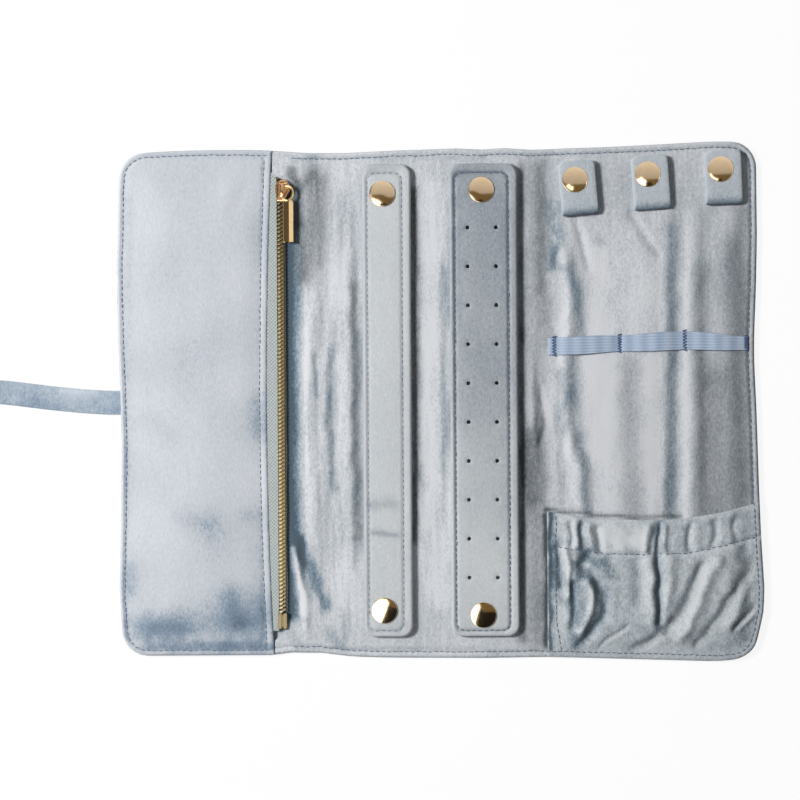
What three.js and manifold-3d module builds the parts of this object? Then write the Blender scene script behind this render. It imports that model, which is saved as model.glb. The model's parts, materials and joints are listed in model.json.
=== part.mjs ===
// A velvet jewelry roll lying open on a table, in millimetres.
// +X runs along the open roll from the tie strap to the necklace tabs, +Y towards the tabs, +Z up.
// The origin lies on the table under the middle of the open roll.

import * as THREE from "three";
import { mergeVertices } from "three/addons/utils/BufferGeometryUtils.js";
import Module from "manifold-3d";

const wasm = await Module();
wasm.setup();

// Panels and soft folds across the open roll, left to right
const leftPanelWidth = 72;
const leftFoldWidth = 14;
const middleWidth = 101;
const rightFoldWidth = 12.5;
const rightPanelWidth = 100.5;
const rollWidth = 237;
const cornerRadius = 12;
const panelFlare = 3;

// Cloth layers of each panel and the gaps between pieces
const shellCloth = 1;
const padThickness = 2;
const liningCloth = 1;
const edgeSeam = 2;
const foldCloth = 2.2;
const layerGap = 0.05;
const cutGap = 0.3;
const overcut = 2;
const cornerSteps = 6;

// Padded front of the zip pocket: its sewn margin, its crown and the bow of its free edge
const pocketSpace = 1.1;
const frontPad = 2.2;
const frontCrown = 0.8;
const frontSeam = 4;
const frontInset = 0.4;
const frontBow = 3.3;
const frontStitch = 5;
const edgeStitch = 2.4;
const frontFlatShare = 0.6;
const frontRowShare = 0.85;

// Stitched channels and rounded shoulders of the padded pieces
const channelDepth = 0.45;
const channelSpread = 0.8;
const shoulder = 1.2;

// Zip
const zipTopInset = 13.5;
const zipLowInset = 12.5;
const zipFromPanel = 3.3;
const chainWidth = 3.6;
const chainHeight = 2.4;
const spineWidth = 1;
const toothPitch = 1.9;
const toothShare = 0.42;
const toothOverlap = 0.45;
const tapeThickness = 0.55;
const tapeTail = 4;
const tapeSewn = 8;
const tapeShelf = 2.8;
const tapeDrop = 4;
const topStopLength = 3;
const topStopWidth = 1.2;
const bottomStopLength = 8;

// Zip slider with its bridge, and the pull that hangs on the bridge
const sliderLength = 10;
const sliderWidth = 7;
const sliderShift = 0.5;
const sliderPlate = 0.8;
const sliderPlay = 0.2;
const sliderCorner = 1;
const flangeWidth = 0.6;
const wedgeWidth = 1.4;
const wedgeLength = 3;
const bridgeShift = 0.6;
const bridgeWidth = 1.4;
const bridgeLength = 6;
const bridgeWire = 0.8;
const bridgeRise = 1.7;
const pullThickness = 0.9;
const pullLength = 25;
const pullWidth = 5;
const pullShift = 2.9;
const eyeWidth = 6.2;
const eyeLength = 5.5;
const eyeShift = 1.3;
const eyeSide = 0.9;
const eyeBar = 1;
const eyeCorner = 0.4;
const pullCorner = 0.5;
const eyeJoin = 0.5;

// Ring bar and earring bar
const ringBarX = -24.55;
const ringBarWidth = 23.1;
const earringBarX = 20.9;
const earringBarWidth = 32.2;
const barTopInset = 6.5;
const barLowInset = 9;
const barLift = 0.3;
const barSide = 4.7;
const barCrown = 0.8;
const barDrawIn = 0.2;
const barCorner = 5.5;
const barEndDrop = 0.9;
const barStitchLeft = 2.3;
const barStitchRight = 4.6;
const barStitchEnd = 5;
const barMiddleShare = 0.3;
const barHingeFromEnd = 19.5;
const ringSnapFromEnd = 14.1;
const ringRivetFromEnd = 12.5;
const earringSnapFromEnd = 12.5;
const earringRivetFromEnd = 10.2;
const ringCapX = -26.4;
const earringCapX = 19.9;
const barStation = 40;

// Ear stud holes through the earring bar
const earHole = 2;
const earRows = 10;
const earTopInset = 30.1;
const earLowInset = 27.6;
const earColumnPitch = 13.3;
const earHoleX = 20.1;

// Snap fasteners and rivets
const capDiameter = 12;
const capHeight = 1.5;
const capRim = 0.4;
const postDiameter = 3.6;
const postPlay = 0.6;
const studDiameter = 10;
const studFlange = 0.5;
const knobDiameter = 3.4;
const knobHeight = 1.3;
const knobNeckShare = 0.8;
const stemDiameter = 2.4;
const socketDiameter = 9.6;
const socketBore = 4.2;
const socketHeight = 1.4;
const snapPlay = 0.1;
const rivetBackDiameter = 10;
const rivetBackHeight = 0.8;
const capSides = 16;
const hiddenSides = 10;
const earHoleSides = 8;

// Necklace tabs, each a strap folded into a loop
const tabFirst = 15.8;
const tabPitch = 34;
const tabWidth = 17.5;
const tabFoldFromEdge = 30;
const tabEndFromEdge = 4.5;
const tabCloth = 1.5;
const tabCorner = 3;
const tabSnapFromEdge = 13.5;
const tabCapShift = -1.5;
const tabRises = [-1.1, 1.2, 3.4];

// Elastic band sewn down into loops
const elasticFromTop = 91;
const elasticWidth = 8;
const elasticThickness = 0.8;
const elasticRise = 1.6;
const elasticInset = 1.5;
const tackCount = 4;
const tackInset = 4.4;
const tackWidth = 1.2;
const tackOverhang = 0.5;
const tackThickness = 0.4;

// Gathered pocket and the elastic behind its mouth
const gatherInset = 0.6;
const gatherSeam = 3;
const gatherCloth = 1;
const gatherHeight = 6;
const gatherMouth = 71;
const gatherSag = 7;
const gatherFolds = 7;
const gatherFoldHeight = 0.3;
const gatherRise = 21;
const gatherSquareness = 6;
const gatherLean = 20;
const mouthElasticWidth = 8;
const mouthElasticThickness = 0.8;
const mouthElasticDrop = 6;
const mouthElasticInset = 9;

// Soft folds in the linings: place across the panel, height, half width and sideways sway
const middleRidges = [
  { x: 6, height: 1.5, spread: 2.4, sway: 1.2 },
  { x: 13, height: 1.1, spread: 2.6, sway: -1.6 },
  { x: 20.5, height: 1.6, spread: 2.4, sway: 1.4 },
  { x: 57, height: 0.9, spread: 3, sway: -1 },
];
const rightRidges = [
  { x: 13, height: 1, spread: 4, sway: 1.5 },
  { x: 40, height: 0.9, spread: 5, sway: -2 },
  { x: 58, height: 1.1, spread: 4, sway: 1.5 },
  { x: 78, height: 1, spread: 5, sway: -1.5 },
];
const ridgeFade = 4;
const ridgeEndFade = 16;
const ridgeWaves = 1.1;
const liningRows = 6;
const crestReach = 1.4;

// Tie strap: sewn into the left edge, laid on the table, its spare length folded and held by a keeper band
const tieWidth = 11.3;
const tieThickness = 1.8;
const tieSewn = 14;
const tieExitY = 0.9;
const hankRuns = 4;
const hankRunLength = 92;
const hankGap = 0.6;
const loopSteps = 12;
const runSteps = 3;
const keeperWidth = 8;
const keeperThickness = 0.8;
const keeperPlay = 0.3;

// Lines that the pieces share
const openLength = leftPanelWidth + leftFoldWidth + middleWidth + rightFoldWidth + rightPanelWidth;
const leftEdge = -openLength / 2;
const leftFoldX = leftEdge + leftPanelWidth;
const middleX = leftFoldX + leftFoldWidth;
const rightFoldX = middleX + middleWidth;
const rightPanelX = rightFoldX + rightFoldWidth;
const rightEdge = openLength / 2;
const halfWidth = rollWidth / 2;
const elasticY = halfWidth - elasticFromTop;
const padTop = shellCloth + padThickness;
const liningTop = padTop + liningCloth;
const onLining = liningTop + layerGap;

// Finishes
const velvet = new THREE.MeshStandardMaterial({ color: 0xbcc6d1, roughness: 0.85 });
const shadedVelvet = new THREE.MeshStandardMaterial({ color: 0xa7b4c2, roughness: 0.85 });
const foam = new THREE.MeshStandardMaterial({ color: 0xe6e4de, roughness: 0.95 });
const tapeCloth = new THREE.MeshStandardMaterial({ color: 0xbfc9c6, roughness: 0.9 });
const elasticCloth = new THREE.MeshStandardMaterial({ color: 0x96aac8, roughness: 0.7 });
const thread = new THREE.MeshStandardMaterial({ color: 0x6f7fa8, roughness: 0.8 });
const brass = new THREE.MeshStandardMaterial({ color: 0xc9a866, roughness: 0.25, metalness: 1 });
const roseGold = new THREE.MeshStandardMaterial({ color: 0xd9b58c, roughness: 0.12, metalness: 1 });

// Joining and cutting closed meshes
function solidOf(geometry) {
  const bare = geometry.clone();
  bare.deleteAttribute("normal");
  bare.deleteAttribute("uv");
  const merged = mergeVertices(bare, 1e-4);
  const triVerts = new Uint32Array(merged.index.array);
  const vertProperties = merged.attributes.position.array;
  return new wasm.Manifold(new wasm.Mesh({ numProp: 3, vertProperties, triVerts }));
}

function geometryOf(solid) {
  const mesh = solid.getMesh();
  const geometry = new THREE.BufferGeometry();
  geometry.setAttribute("position", new THREE.BufferAttribute(mesh.vertProperties, 3));
  geometry.setIndex(new THREE.BufferAttribute(mesh.triVerts, 1));
  geometry.computeVertexNormals();
  return geometry;
}

function cut(geometry, ...tools) {
  return geometryOf(tools.reduce((solid, tool) => solid.subtract(solidOf(tool)), solidOf(geometry)));
}

function join(geometry, ...others) {
  return geometryOf(others.reduce((solid, other) => solid.add(solidOf(other)), solidOf(geometry)));
}

function keepInside(geometry, region) {
  return geometryOf(solidOf(geometry).intersect(solidOf(region)));
}

// A box from its lowest to its highest corner
function block(x0, y0, z0, x1, y1, z1) {
  const geometry = new THREE.BoxGeometry(x1 - x0, y1 - y0, z1 - z0);
  return geometry.translate((x0 + x1) / 2, (y0 + y1) / 2, (z0 + z1) / 2);
}

// A rectangle with a radius at each corner, anticlockwise from the lower left
function roundedOutline(x0, y0, x1, y1, [lowerLeft, lowerRight, upperRight, upperLeft]) {
  const corner = (x, y, radius, quarter) => {
    const angles = radius > 0 ? evenly(quarter, quarter + 1, cornerSteps) : [quarter];
    return angles.map((turns) => {
      const angle = (turns * Math.PI) / 2;
      return new THREE.Vector2(x + radius * Math.cos(angle), y + radius * Math.sin(angle));
    });
  };
  return new THREE.Shape([
    ...corner(x0 + lowerLeft, y0 + lowerLeft, lowerLeft, 2),
    ...corner(x1 - lowerRight, y0 + lowerRight, lowerRight, 3),
    ...corner(x1 - upperRight, y1 - upperRight, upperRight, 0),
    ...corner(x0 + upperLeft, y1 - upperLeft, upperLeft, 1),
  ]);
}

// A flat outline given a thickness in Z
function plate(outline, bottom, top) {
  const geometry = new THREE.ExtrudeGeometry(outline, {
    depth: top - bottom,
    bevelEnabled: false,
  });
  return geometry.translate(0, 0, bottom);
}

// A profile of [x, z] points carried along Y, and one of [y, z] points carried along X
function alongY(profile, y0, y1) {
  const shape = new THREE.Shape(profile.map(([x, z]) => new THREE.Vector2(x, z)));
  const geometry = plate(shape, 0, y1 - y0);
  return geometry.rotateX(Math.PI / 2).translate(0, y1, 0);
}

function alongX(profile, x0, x1) {
  const shape = new THREE.Shape(profile.map(([y, z]) => new THREE.Vector2(y, z)));
  const geometry = plate(shape, x0, x1);
  const turn = new THREE.Matrix4().makeBasis(
    new THREE.Vector3(0, 1, 0),
    new THREE.Vector3(0, 0, 1),
    new THREE.Vector3(1, 0, 0),
  );
  return geometry.applyMatrix4(turn);
}

// A profile of [radius, z] points turned about the Z axis
function turned(profile, sides) {
  const points = profile.map(([radius, z]) => new THREE.Vector2(radius, z));
  return new THREE.LatheGeometry(points, sides).rotateX(Math.PI / 2);
}

// An upright drill at a point, used for cutting
function drill(diameter, x, y, bottom, top, sides = hiddenSides) {
  const geometry = new THREE.CylinderGeometry(diameter / 2, diameter / 2, top - bottom, sides);
  return geometry.rotateX(Math.PI / 2).translate(x, y, (bottom + top) / 2);
}

// A closed pad between an upper and a lower surface over the same grid of stations
function gridPad(columns, rows, upper, lower) {
  const positions = [];
  const faces = [];
  const wide = columns.length;
  const count = wide * rows.length;
  const at = (i, j) => j * wide + i;
  rows.forEach((v) => columns.forEach((u) => positions.push(...upper(u, v))));
  rows.forEach((v) => columns.forEach((u) => positions.push(...lower(u, v))));
  for (let j = 0; j + 1 < rows.length; j++) {
    for (let i = 0; i + 1 < wide; i++) {
      const [a, b, c, d] = [at(i, j), at(i + 1, j), at(i + 1, j + 1), at(i, j + 1)];
      faces.push(a, b, c, a, c, d);
      faces.push(count + a, count + c, count + b, count + a, count + d, count + c);
    }
  }
  const rim = [];
  for (let i = 0; i + 1 < wide; i++) rim.push(at(i, 0));
  for (let j = 0; j + 1 < rows.length; j++) rim.push(at(wide - 1, j));
  for (let i = wide - 1; i > 0; i--) rim.push(at(i, rows.length - 1));
  for (let j = rows.length - 1; j > 0; j--) rim.push(at(0, j));
  rim.forEach((a, i) => {
    const b = rim[(i + 1) % rim.length];
    faces.push(a, count + a, count + b, a, count + b, b);
  });
  const geometry = new THREE.BufferGeometry();
  geometry.setAttribute("position", new THREE.Float32BufferAttribute(positions, 3));
  geometry.setIndex(faces);
  geometry.computeVertexNormals();
  return geometry;
}

// Even stations from one value to another, and a rising list with near doubles left out
function evenly(from, to, steps) {
  return Array.from({ length: steps + 1 }, (_, i) => from + ((to - from) * i) / steps);
}

function rising(values) {
  const sorted = [...values].sort((a, b) => a - b);
  return sorted.filter((value, i) => i === 0 || value - sorted[i - 1] > layerGap);
}

function smooth(low, high, value) {
  const t = THREE.MathUtils.clamp((value - low) / (high - low), 0, 1);
  return t * t * (3 - 2 * t);
}

// A stitched channel of the padded pieces, by distance from the stitch line, and a rounded shoulder
function channel(distance) {
  return channelDepth * Math.max(0, 1 - Math.abs(distance) / channelSpread);
}

function shoulderDrop(distance) {
  return shoulder * Math.max(0, 1 - distance / shoulder) ** 2;
}

const roll = new THREE.Group();
roll.name = "jewelry_roll";

function addGroup(parent, x = 0, y = 0, z = 0) {
  const group = new THREE.Group();
  group.position.set(x, y, z);
  parent.add(group);
  return group;
}

function addPiece(group, name, geometry, material) {
  const mesh = new THREE.Mesh(geometry, material);
  mesh.name = name;
  group.add(mesh);
  return mesh;
}

const leftFlap = addGroup(roll);
const middle = addGroup(roll);
const rightPanel = addGroup(roll);

// Panels: an outer shell with turned edges, and padding inside it
const panels = {
  left: { x0: leftEdge, x1: leftFoldX, leftCorner: cornerRadius, rightCorner: 0 },
  middle: { x0: middleX, x1: rightFoldX, leftCorner: 0, rightCorner: 0 },
  right: { x0: rightPanelX, x1: rightEdge, leftCorner: 0, rightCorner: cornerRadius },
};

// A panel's outline set in from its sewn edges, and carried on past an edge that meets a fold
function panelOutline({ x0, x1, leftCorner, rightCorner }, inset, past) {
  const left = Math.max(leftCorner - inset, 0);
  const right = Math.max(rightCorner - inset, 0);
  const low = leftCorner ? x0 + inset : x0 - past;
  const high = rightCorner ? x1 - inset : x1 + past;
  return roundedOutline(low, inset - halfWidth, high, halfWidth - inset, [left, right, right, left]);
}

function outerShell(panel) {
  const whole = plate(panelOutline(panel, 0, 0), 0, liningTop);
  return cut(whole, plate(panelOutline(panel, edgeSeam, overcut), shellCloth, liningTop + overcut));
}

function panelPadding(panel) {
  return plate(panelOutline(panel, edgeSeam + layerGap, 0), shellCloth + layerGap, padTop);
}

// A lining with soft folds along Y, kept flat where calm says so, with extra stations where that starts
function foldedLining(panel, ridges, extraColumns, extraRows, calm) {
  const inset = edgeSeam + layerGap;
  const low = panel.leftCorner ? panel.x0 + inset : panel.x0;
  const high = panel.rightCorner ? panel.x1 - inset : panel.x1;
  const relief = (x, y) => {
    const bend = Math.sin((2 * Math.PI * ridgeWaves * y) / rollWidth);
    const heights = ridges.map((ridge) => {
      const away = (x - panel.x0 - ridge.x - ridge.sway * bend) / ridge.spread;
      return ridge.height * Math.exp(-away * away);
    });
    return calm(x, y) * heights.reduce((sum, height) => sum + height, 0);
  };
  const crests = ridges.flatMap(({ x, spread }) => {
    const reach = crestReach * spread;
    return evenly(panel.x0 + x - reach, panel.x0 + x + reach, 4);
  });
  const near = [...crests, ...extraColumns];
  const columns = rising([low, ...near.filter((x) => x > low && x < high), high]);
  const rows = rising([...evenly(inset - halfWidth, halfWidth - inset, liningRows), ...extraRows]);
  const upper = (x, y) => [x, y, liningTop + relief(x, y)];
  const lower = (x, y) => [x, y, padTop + layerGap];
  const lining = gridPad(columns, rows, upper, lower);
  return keepInside(lining, plate(panelOutline(panel, inset, 0), 0, 2 * liningTop));
}

// Left flap: shell, padding with a notch for the tie, and the back lining of the zip pocket
const tieLow = shellCloth + 2 * layerGap;
const tieSlot = block(
  leftEdge - overcut,
  tieExitY - tieWidth / 2 - cutGap,
  shellCloth,
  leftEdge + tieSewn + cutGap,
  tieExitY + tieWidth / 2 + cutGap,
  tieLow + tieThickness + layerGap,
);
addPiece(leftFlap, "left_outer_shell", cut(outerShell(panels.left), tieSlot), velvet);
addPiece(leftFlap, "left_padding", cut(panelPadding(panels.left), tieSlot), foam);
const backLining = plate(panelOutline(panels.left, edgeSeam + layerGap, 0), padTop + layerGap, liningTop);
addPiece(leftFlap, "left_back_lining", backLining, shadedVelvet);

// Padded front of the zip pocket, sewn down on three sides and open towards the zip
const frontLow = leftEdge + frontInset;
const frontHalf = halfWidth - frontInset;
const frontUnder = liningTop + pocketSpace;

function frontEdge(y) {
  return leftFoldX - frontBow * (1 - (y / halfWidth) ** 2);
}

function frontTop(insetLow, insetHigh, insetEnd) {
  const across = (2 * insetLow) / (insetLow + insetHigh) - 1;
  const along = 1 - insetEnd / frontHalf;
  const crown = frontCrown * (1 - across ** 4) * (1 - along ** 4);
  const rim = Math.min(insetLow, insetHigh, insetEnd);
  const stitched = Math.min(insetLow, insetEnd) - edgeStitch;
  const sewn = Math.max(channel(stitched), channel(insetHigh - frontStitch));
  return frontUnder + frontPad + crown - sewn - shoulderDrop(rim);
}

function pocketFront() {
  const nominal = leftFoldX - frontLow;
  const near = [0, shoulder / 2, edgeStitch - channelSpread, edgeStitch, edgeStitch + channelSpread];
  const far = [0, shoulder / 2, frontStitch - channelSpread, frontStitch, frontStitch + channelSpread];
  const flat = (frontFlatShare * nominal) / 2;
  const inner = evenly(nominal / 2 - flat, nominal / 2 + flat, 2);
  const columns = rising([...near, ...inner, ...far.map((inset) => nominal - inset)]);
  const ends = near.map((inset) => frontHalf - inset);
  const reach = frontRowShare * frontHalf;
  const rows = rising([...ends, ...ends.map((y) => -y), ...evenly(-reach, reach, 6)]);
  const place = (u, y) => frontLow + (u / nominal) * (frontEdge(y) - frontLow);
  const upper = (u, y) => {
    const x = place(u, y);
    return [x, y, frontTop(x - frontLow, frontEdge(y) - x, frontHalf - Math.abs(y))];
  };
  const lower = (u, y) => [place(u, y), y, onLining];
  const pad = gridPad(columns, rows, upper, lower);
  const round = cornerRadius - frontInset;
  const outline = roundedOutline(frontLow, -frontHalf, leftFoldX, frontHalf, [round, 0, 0, round]);
  const rounded = keepInside(pad, plate(outline, 0, frontUnder + frontPad + 2 * frontCrown));
  const seamHalf = halfWidth - frontSeam;
  const hollow = block(leftEdge + frontSeam, -seamHalf, 0, leftFoldX + overcut, seamHalf, frontUnder);
  return cut(rounded, hollow);
}

addPiece(leftFlap, "zip_pocket_front", pocketFront(), velvet);

// Zip: tapes, interlocking rows of teeth and stops
const chainX = leftFoldX + zipFromPanel;
const chainLow = chainX - chainWidth / 2;
const chainHigh = chainX + chainWidth / 2;
const zipTop = halfWidth - zipTopInset;
const zipLow = zipLowInset - halfWidth;
const zipPlane = frontUnder - layerGap - tapeThickness / 2;
const tapeLow = zipPlane - tapeThickness / 2;
const tapeHigh = zipPlane + tapeThickness / 2;
const teethLow = zipPlane - chainHeight / 2;
const teethHigh = zipPlane + chainHeight / 2;
const teethStart = zipLow + bottomStopLength + cutGap;
const sliderY = zipTop - sliderLength / 2;
const foldSeat = foldCloth + layerGap;

const tapeLeftX = leftFoldX - frontBow - tapeSewn;
const tapeRightX = chainLow - cutGap / 2;
const tapeEnds = [zipLow - tapeTail, zipTop + tapeTail];
const leftTape = block(tapeLeftX, tapeEnds[0], tapeLow, tapeRightX, tapeEnds[1], tapeHigh);
addPiece(leftFlap, "zip_tape_left", leftTape, tapeCloth);

// The right tape runs level past the slider, then drops to the fold where it is sewn down
const shelfX = chainHigh + tapeShelf;
const rightTape = [
  [chainHigh + cutGap / 2, tapeLow],
  [shelfX, tapeLow],
  [shelfX + tapeDrop, foldSeat],
  [shelfX + tapeDrop + tapeThickness, foldSeat],
  [shelfX + tapeDrop + tapeThickness, foldSeat + tapeThickness],
  [shelfX, tapeHigh],
  [chainHigh + cutGap / 2, tapeHigh],
];
addPiece(leftFlap, "zip_tape_right", alongY(rightTape, ...tapeEnds), tapeCloth);

// A row of teeth on its spine: side is -1 for the left row, +1 for the right row
function teethRow(side) {
  const toothCount = Math.floor((sliderY - teethStart) / toothPitch);
  const outer = chainX + (side * chainWidth) / 2;
  const root = outer - side * spineWidth;
  const tip = chainX - side * toothOverlap;
  const first = teethStart + (side > 0 ? toothPitch / 2 : 0);
  const end = teethStart + toothCount * toothPitch;
  const shape = new THREE.Shape();
  shape.moveTo(outer, teethStart);
  shape.lineTo(root, teethStart);
  for (let tooth = 0; tooth < toothCount; tooth++) {
    const low = first + tooth * toothPitch;
    const high = low + toothShare * toothPitch;
    if (low > teethStart) shape.lineTo(root, low);
    shape.lineTo(tip, low);
    shape.lineTo(tip, high);
    shape.lineTo(root, high);
  }
  shape.lineTo(root, end);
  shape.lineTo(outer, end);
  shape.closePath();
  return plate(shape, teethLow, teethHigh);
}

addPiece(leftFlap, "zip_teeth_left", teethRow(-1), brass);
addPiece(leftFlap, "zip_teeth_right", teethRow(1), brass);
const stopLow = zipTop + cutGap;
const stopHigh = stopLow + topStopLength;
const leftStop = block(chainLow, stopLow, teethLow, chainLow + topStopWidth, stopHigh, teethHigh);
const rightStop = block(chainHigh - topStopWidth, stopLow, teethLow, chainHigh, stopHigh, teethHigh);
addPiece(leftFlap, "zip_top_stop_left", leftStop, brass);
addPiece(leftFlap, "zip_top_stop_right", rightStop, brass);
const bottomStop = block(chainLow, zipLow, teethLow, chainHigh, zipLow + bottomStopLength, teethHigh);
addPiece(leftFlap, "zip_bottom_stop", bottomStop, brass);

// Slider: two plates with flanges round the chain, a wedge between them, and a bridge for the pull
const zipSlider = addGroup(leftFlap, chainX + sliderShift, sliderY, 0);
const plateTop = teethHigh + sliderPlay + sliderPlate;

function sliderBody() {
  const half = sliderWidth / 2;
  const crown = half - flangeWidth;
  const corners = [sliderCorner, sliderCorner, crown, crown];
  const outline = roundedOutline(-half, -sliderLength / 2, half, sliderLength / 2, corners);
  const upperInner = teethHigh + sliderPlay;
  const lowerInner = teethLow - sliderPlay;
  const upper = plate(outline, upperInner, plateTop);
  const lower = plate(outline, lowerInner - sliderPlate, lowerInner);
  const wedgeY = sliderLength / 2 - sliderCorner - wedgeLength;
  const wedge = block(
    -sliderShift - wedgeWidth / 2,
    wedgeY,
    lowerInner - layerGap,
    -sliderShift + wedgeWidth / 2,
    wedgeY + wedgeLength,
    upperInner + layerGap,
  );
  const flangeLow = sliderCorner - sliderLength / 2;
  const flangeEnd = sliderLength / 2 - crown;
  const flanges = [-half, half - flangeWidth].flatMap((x) => [
    block(x, flangeLow, tapeHigh + cutGap, x + flangeWidth, flangeEnd, upperInner + layerGap),
    block(x, flangeLow, lowerInner - layerGap, x + flangeWidth, flangeEnd, tapeLow - cutGap),
  ]);
  const reach = bridgeLength / 2;
  const bridge = alongX(
    [
      [-reach, plateTop - layerGap],
      [bridgeWire - reach, plateTop - layerGap],
      [bridgeWire - reach, plateTop + bridgeRise],
      [reach - bridgeWire, plateTop + bridgeRise],
      [reach - bridgeWire, plateTop - layerGap],
      [reach, plateTop - layerGap],
      [reach, plateTop + bridgeRise],
      [reach - bridgeWire, plateTop + bridgeRise + bridgeWire],
      [bridgeWire - reach, plateTop + bridgeRise + bridgeWire],
      [-reach, plateTop + bridgeRise],
    ],
    bridgeShift - bridgeWidth / 2,
    bridgeShift + bridgeWidth / 2,
  );
  return join(upper, lower, wedge, ...flanges, bridge);
}

addPiece(zipSlider, "zip_slider", sliderBody(), brass);

// Pull: a flat tab with an eye round the bridge, lying back along the chain
const pullAxisZ = plateTop + bridgeRise / 2;
const zipPull = addGroup(zipSlider, 0, 0, pullAxisZ);

function pullTab() {
  const eyeX = bridgeShift + eyeShift;
  const tabX = bridgeShift + pullShift;
  const eyeLow = eyeBar / 2 - eyeLength;
  const low = -pullThickness / 2;
  const high = pullThickness / 2;
  const eyeHalf = eyeWidth / 2;
  const eyeCorners = [0, 0, eyeCorner, eyeCorner];
  const eye = roundedOutline(eyeX - eyeHalf, eyeLow, eyeX + eyeHalf, eyeBar / 2, eyeCorners);
  const tabLow = eyeBar / 2 - pullLength;
  const tabHalf = pullWidth / 2;
  const tabCorners = [pullCorner, pullCorner, 0, 0];
  const tab = roundedOutline(tabX - tabHalf, tabLow, tabX + tabHalf, eyeLow + eyeJoin, tabCorners);
  const slotHalf = eyeHalf - eyeSide;
  const slot = block(eyeX - slotHalf, eyeLow + eyeBar, 2 * low, eyeX + slotHalf, -eyeBar / 2, 2 * high);
  return join(cut(plate(eye, low, high), slot), plate(tab, low, high));
}

addPiece(zipPull, "zip_pull", pullTab(), brass);

// Tie strap: points along its middle line, from inside the seam to the folded hank
const tieSeat = tieLow + tieThickness / 2;
const tieRest = tieThickness / 2 + layerGap;
const hankRest = keeperThickness + layerGap + tieThickness / 2 + keeperPlay;
const tieRoute = [
  [tieSewn, tieExitY, tieSeat],
  [7, tieExitY, tieSeat],
  [0, tieExitY, tieSeat],
  [-4, 0.9, 1.8],
  [-9, 1.1, 1.2],
  [-14, 1.4, tieRest],
  [-21, 2, tieRest],
  [-28, 2.7, tieRest],
  [-35, 3.5, tieRest],
  [-42, 4.4, tieRest],
  [-49, 5.3, tieRest],
  [-55, 6, 1.1],
  [-60, 6.4, 1.6],
  [-63, 6.5, hankRest],
  [-66, 6.5, hankRest],
].map(([x, y, z]) => new THREE.Vector3(leftEdge + x, y, z));

// A flat strap carried along a middle line, its width kept level and its edges softened
function flatStrap(route, width, thickness) {
  const halfStrap = width / 2;
  const halfThick = thickness / 2;
  const soft = thickness / 3;
  const section = [
    [halfStrap, -halfThick / 2],
    [halfStrap, halfThick / 2],
    [halfStrap - soft, halfThick],
    [soft - halfStrap, halfThick],
    [-halfStrap, halfThick / 2],
    [-halfStrap, -halfThick / 2],
    [soft - halfStrap, -halfThick],
    [halfStrap - soft, -halfThick],
  ];
  const sides = section.length;
  const level = new THREE.Vector3(0, 1, 0);
  const positions = [];
  const faces = [];
  route.forEach((point, i) => {
    const from = route[Math.max(i - 1, 0)];
    const to = route[Math.min(i + 1, route.length - 1)];
    const ahead = to.clone().sub(from).normalize();
    const up = ahead.clone().cross(level).normalize();
    const across = up.clone().cross(ahead);
    section.forEach(([wide, high]) => {
      const corner = point.clone().addScaledVector(across, wide).addScaledVector(up, high);
      positions.push(corner.x, corner.y, corner.z);
    });
  });
  for (let i = 0; i + 1 < route.length; i++) {
    for (let k = 0; k < sides; k++) {
      const next = (k + 1) % sides;
      const [a, b, c, d] = [i * sides + k, i * sides + next, (i + 1) * sides + next, (i + 1) * sides + k];
      faces.push(a, b, c, a, c, d);
    }
  }
  const last = (route.length - 1) * sides;
  for (let k = 1; k + 1 < sides; k++) {
    faces.push(0, k + 1, k);
    faces.push(last, last + k, last + k + 1);
  }
  const geometry = new THREE.BufferGeometry();
  geometry.setAttribute("position", new THREE.Float32BufferAttribute(positions, 3));
  geometry.setIndex(faces);
  geometry.computeVertexNormals();
  return geometry;
}

addPiece(leftFlap, "tie_strap", flatStrap(tieRoute, tieWidth, tieThickness), velvet);

// The spare length folded to and fro on itself: level runs joined by half turns at alternate ends
function hankRoute() {
  const start = tieRoute[tieRoute.length - 1];
  const pitch = tieThickness + hankGap;
  const points = [];
  for (let run = 0; run < hankRuns; run++) {
    const z = start.z + run * pitch;
    const nearX = start.x - cutGap - pitch;
    const farX = nearX - hankRunLength;
    const goingOut = run % 2 === 0;
    const runStart = run === 0 ? start.x - cutGap : goingOut ? nearX : farX;
    const runEnd = goingOut ? farX : nearX;
    evenly(runStart, runEnd, runSteps).forEach((x) => points.push(new THREE.Vector3(x, start.y, z)));
    if (run + 1 < hankRuns) {
      const outward = goingOut ? -1 : 1;
      for (let step = 1; step < loopSteps; step++) {
        const angle = (Math.PI * step) / loopSteps;
        const x = runEnd + (outward * Math.sin(angle) * pitch) / 2;
        points.push(new THREE.Vector3(x, start.y, z + ((1 - Math.cos(angle)) * pitch) / 2));
      }
    }
  }
  return points;
}

// The least gap of the folded strap to itself, measured between points that are not neighbours
function leastGap(points, thickness) {
  let travelled = 0;
  const along = points.map((point, i) => {
    travelled += i ? point.distanceTo(points[i - 1]) : 0;
    return travelled;
  });
  let least = Infinity;
  points.forEach((a, i) => {
    points.slice(i + 1).forEach((b, k) => {
      if (along[i + 1 + k] - along[i] > 2 * thickness) least = Math.min(least, a.distanceTo(b) - thickness);
    });
  });
  return least;
}

const hankPoints = hankRoute();
addPiece(leftFlap, "tie_hank", flatStrap(hankPoints, tieWidth, tieThickness), velvet);
console.log("least gap of the folded tie to itself, mm: " + leastGap(hankPoints, tieThickness).toFixed(2));

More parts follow.
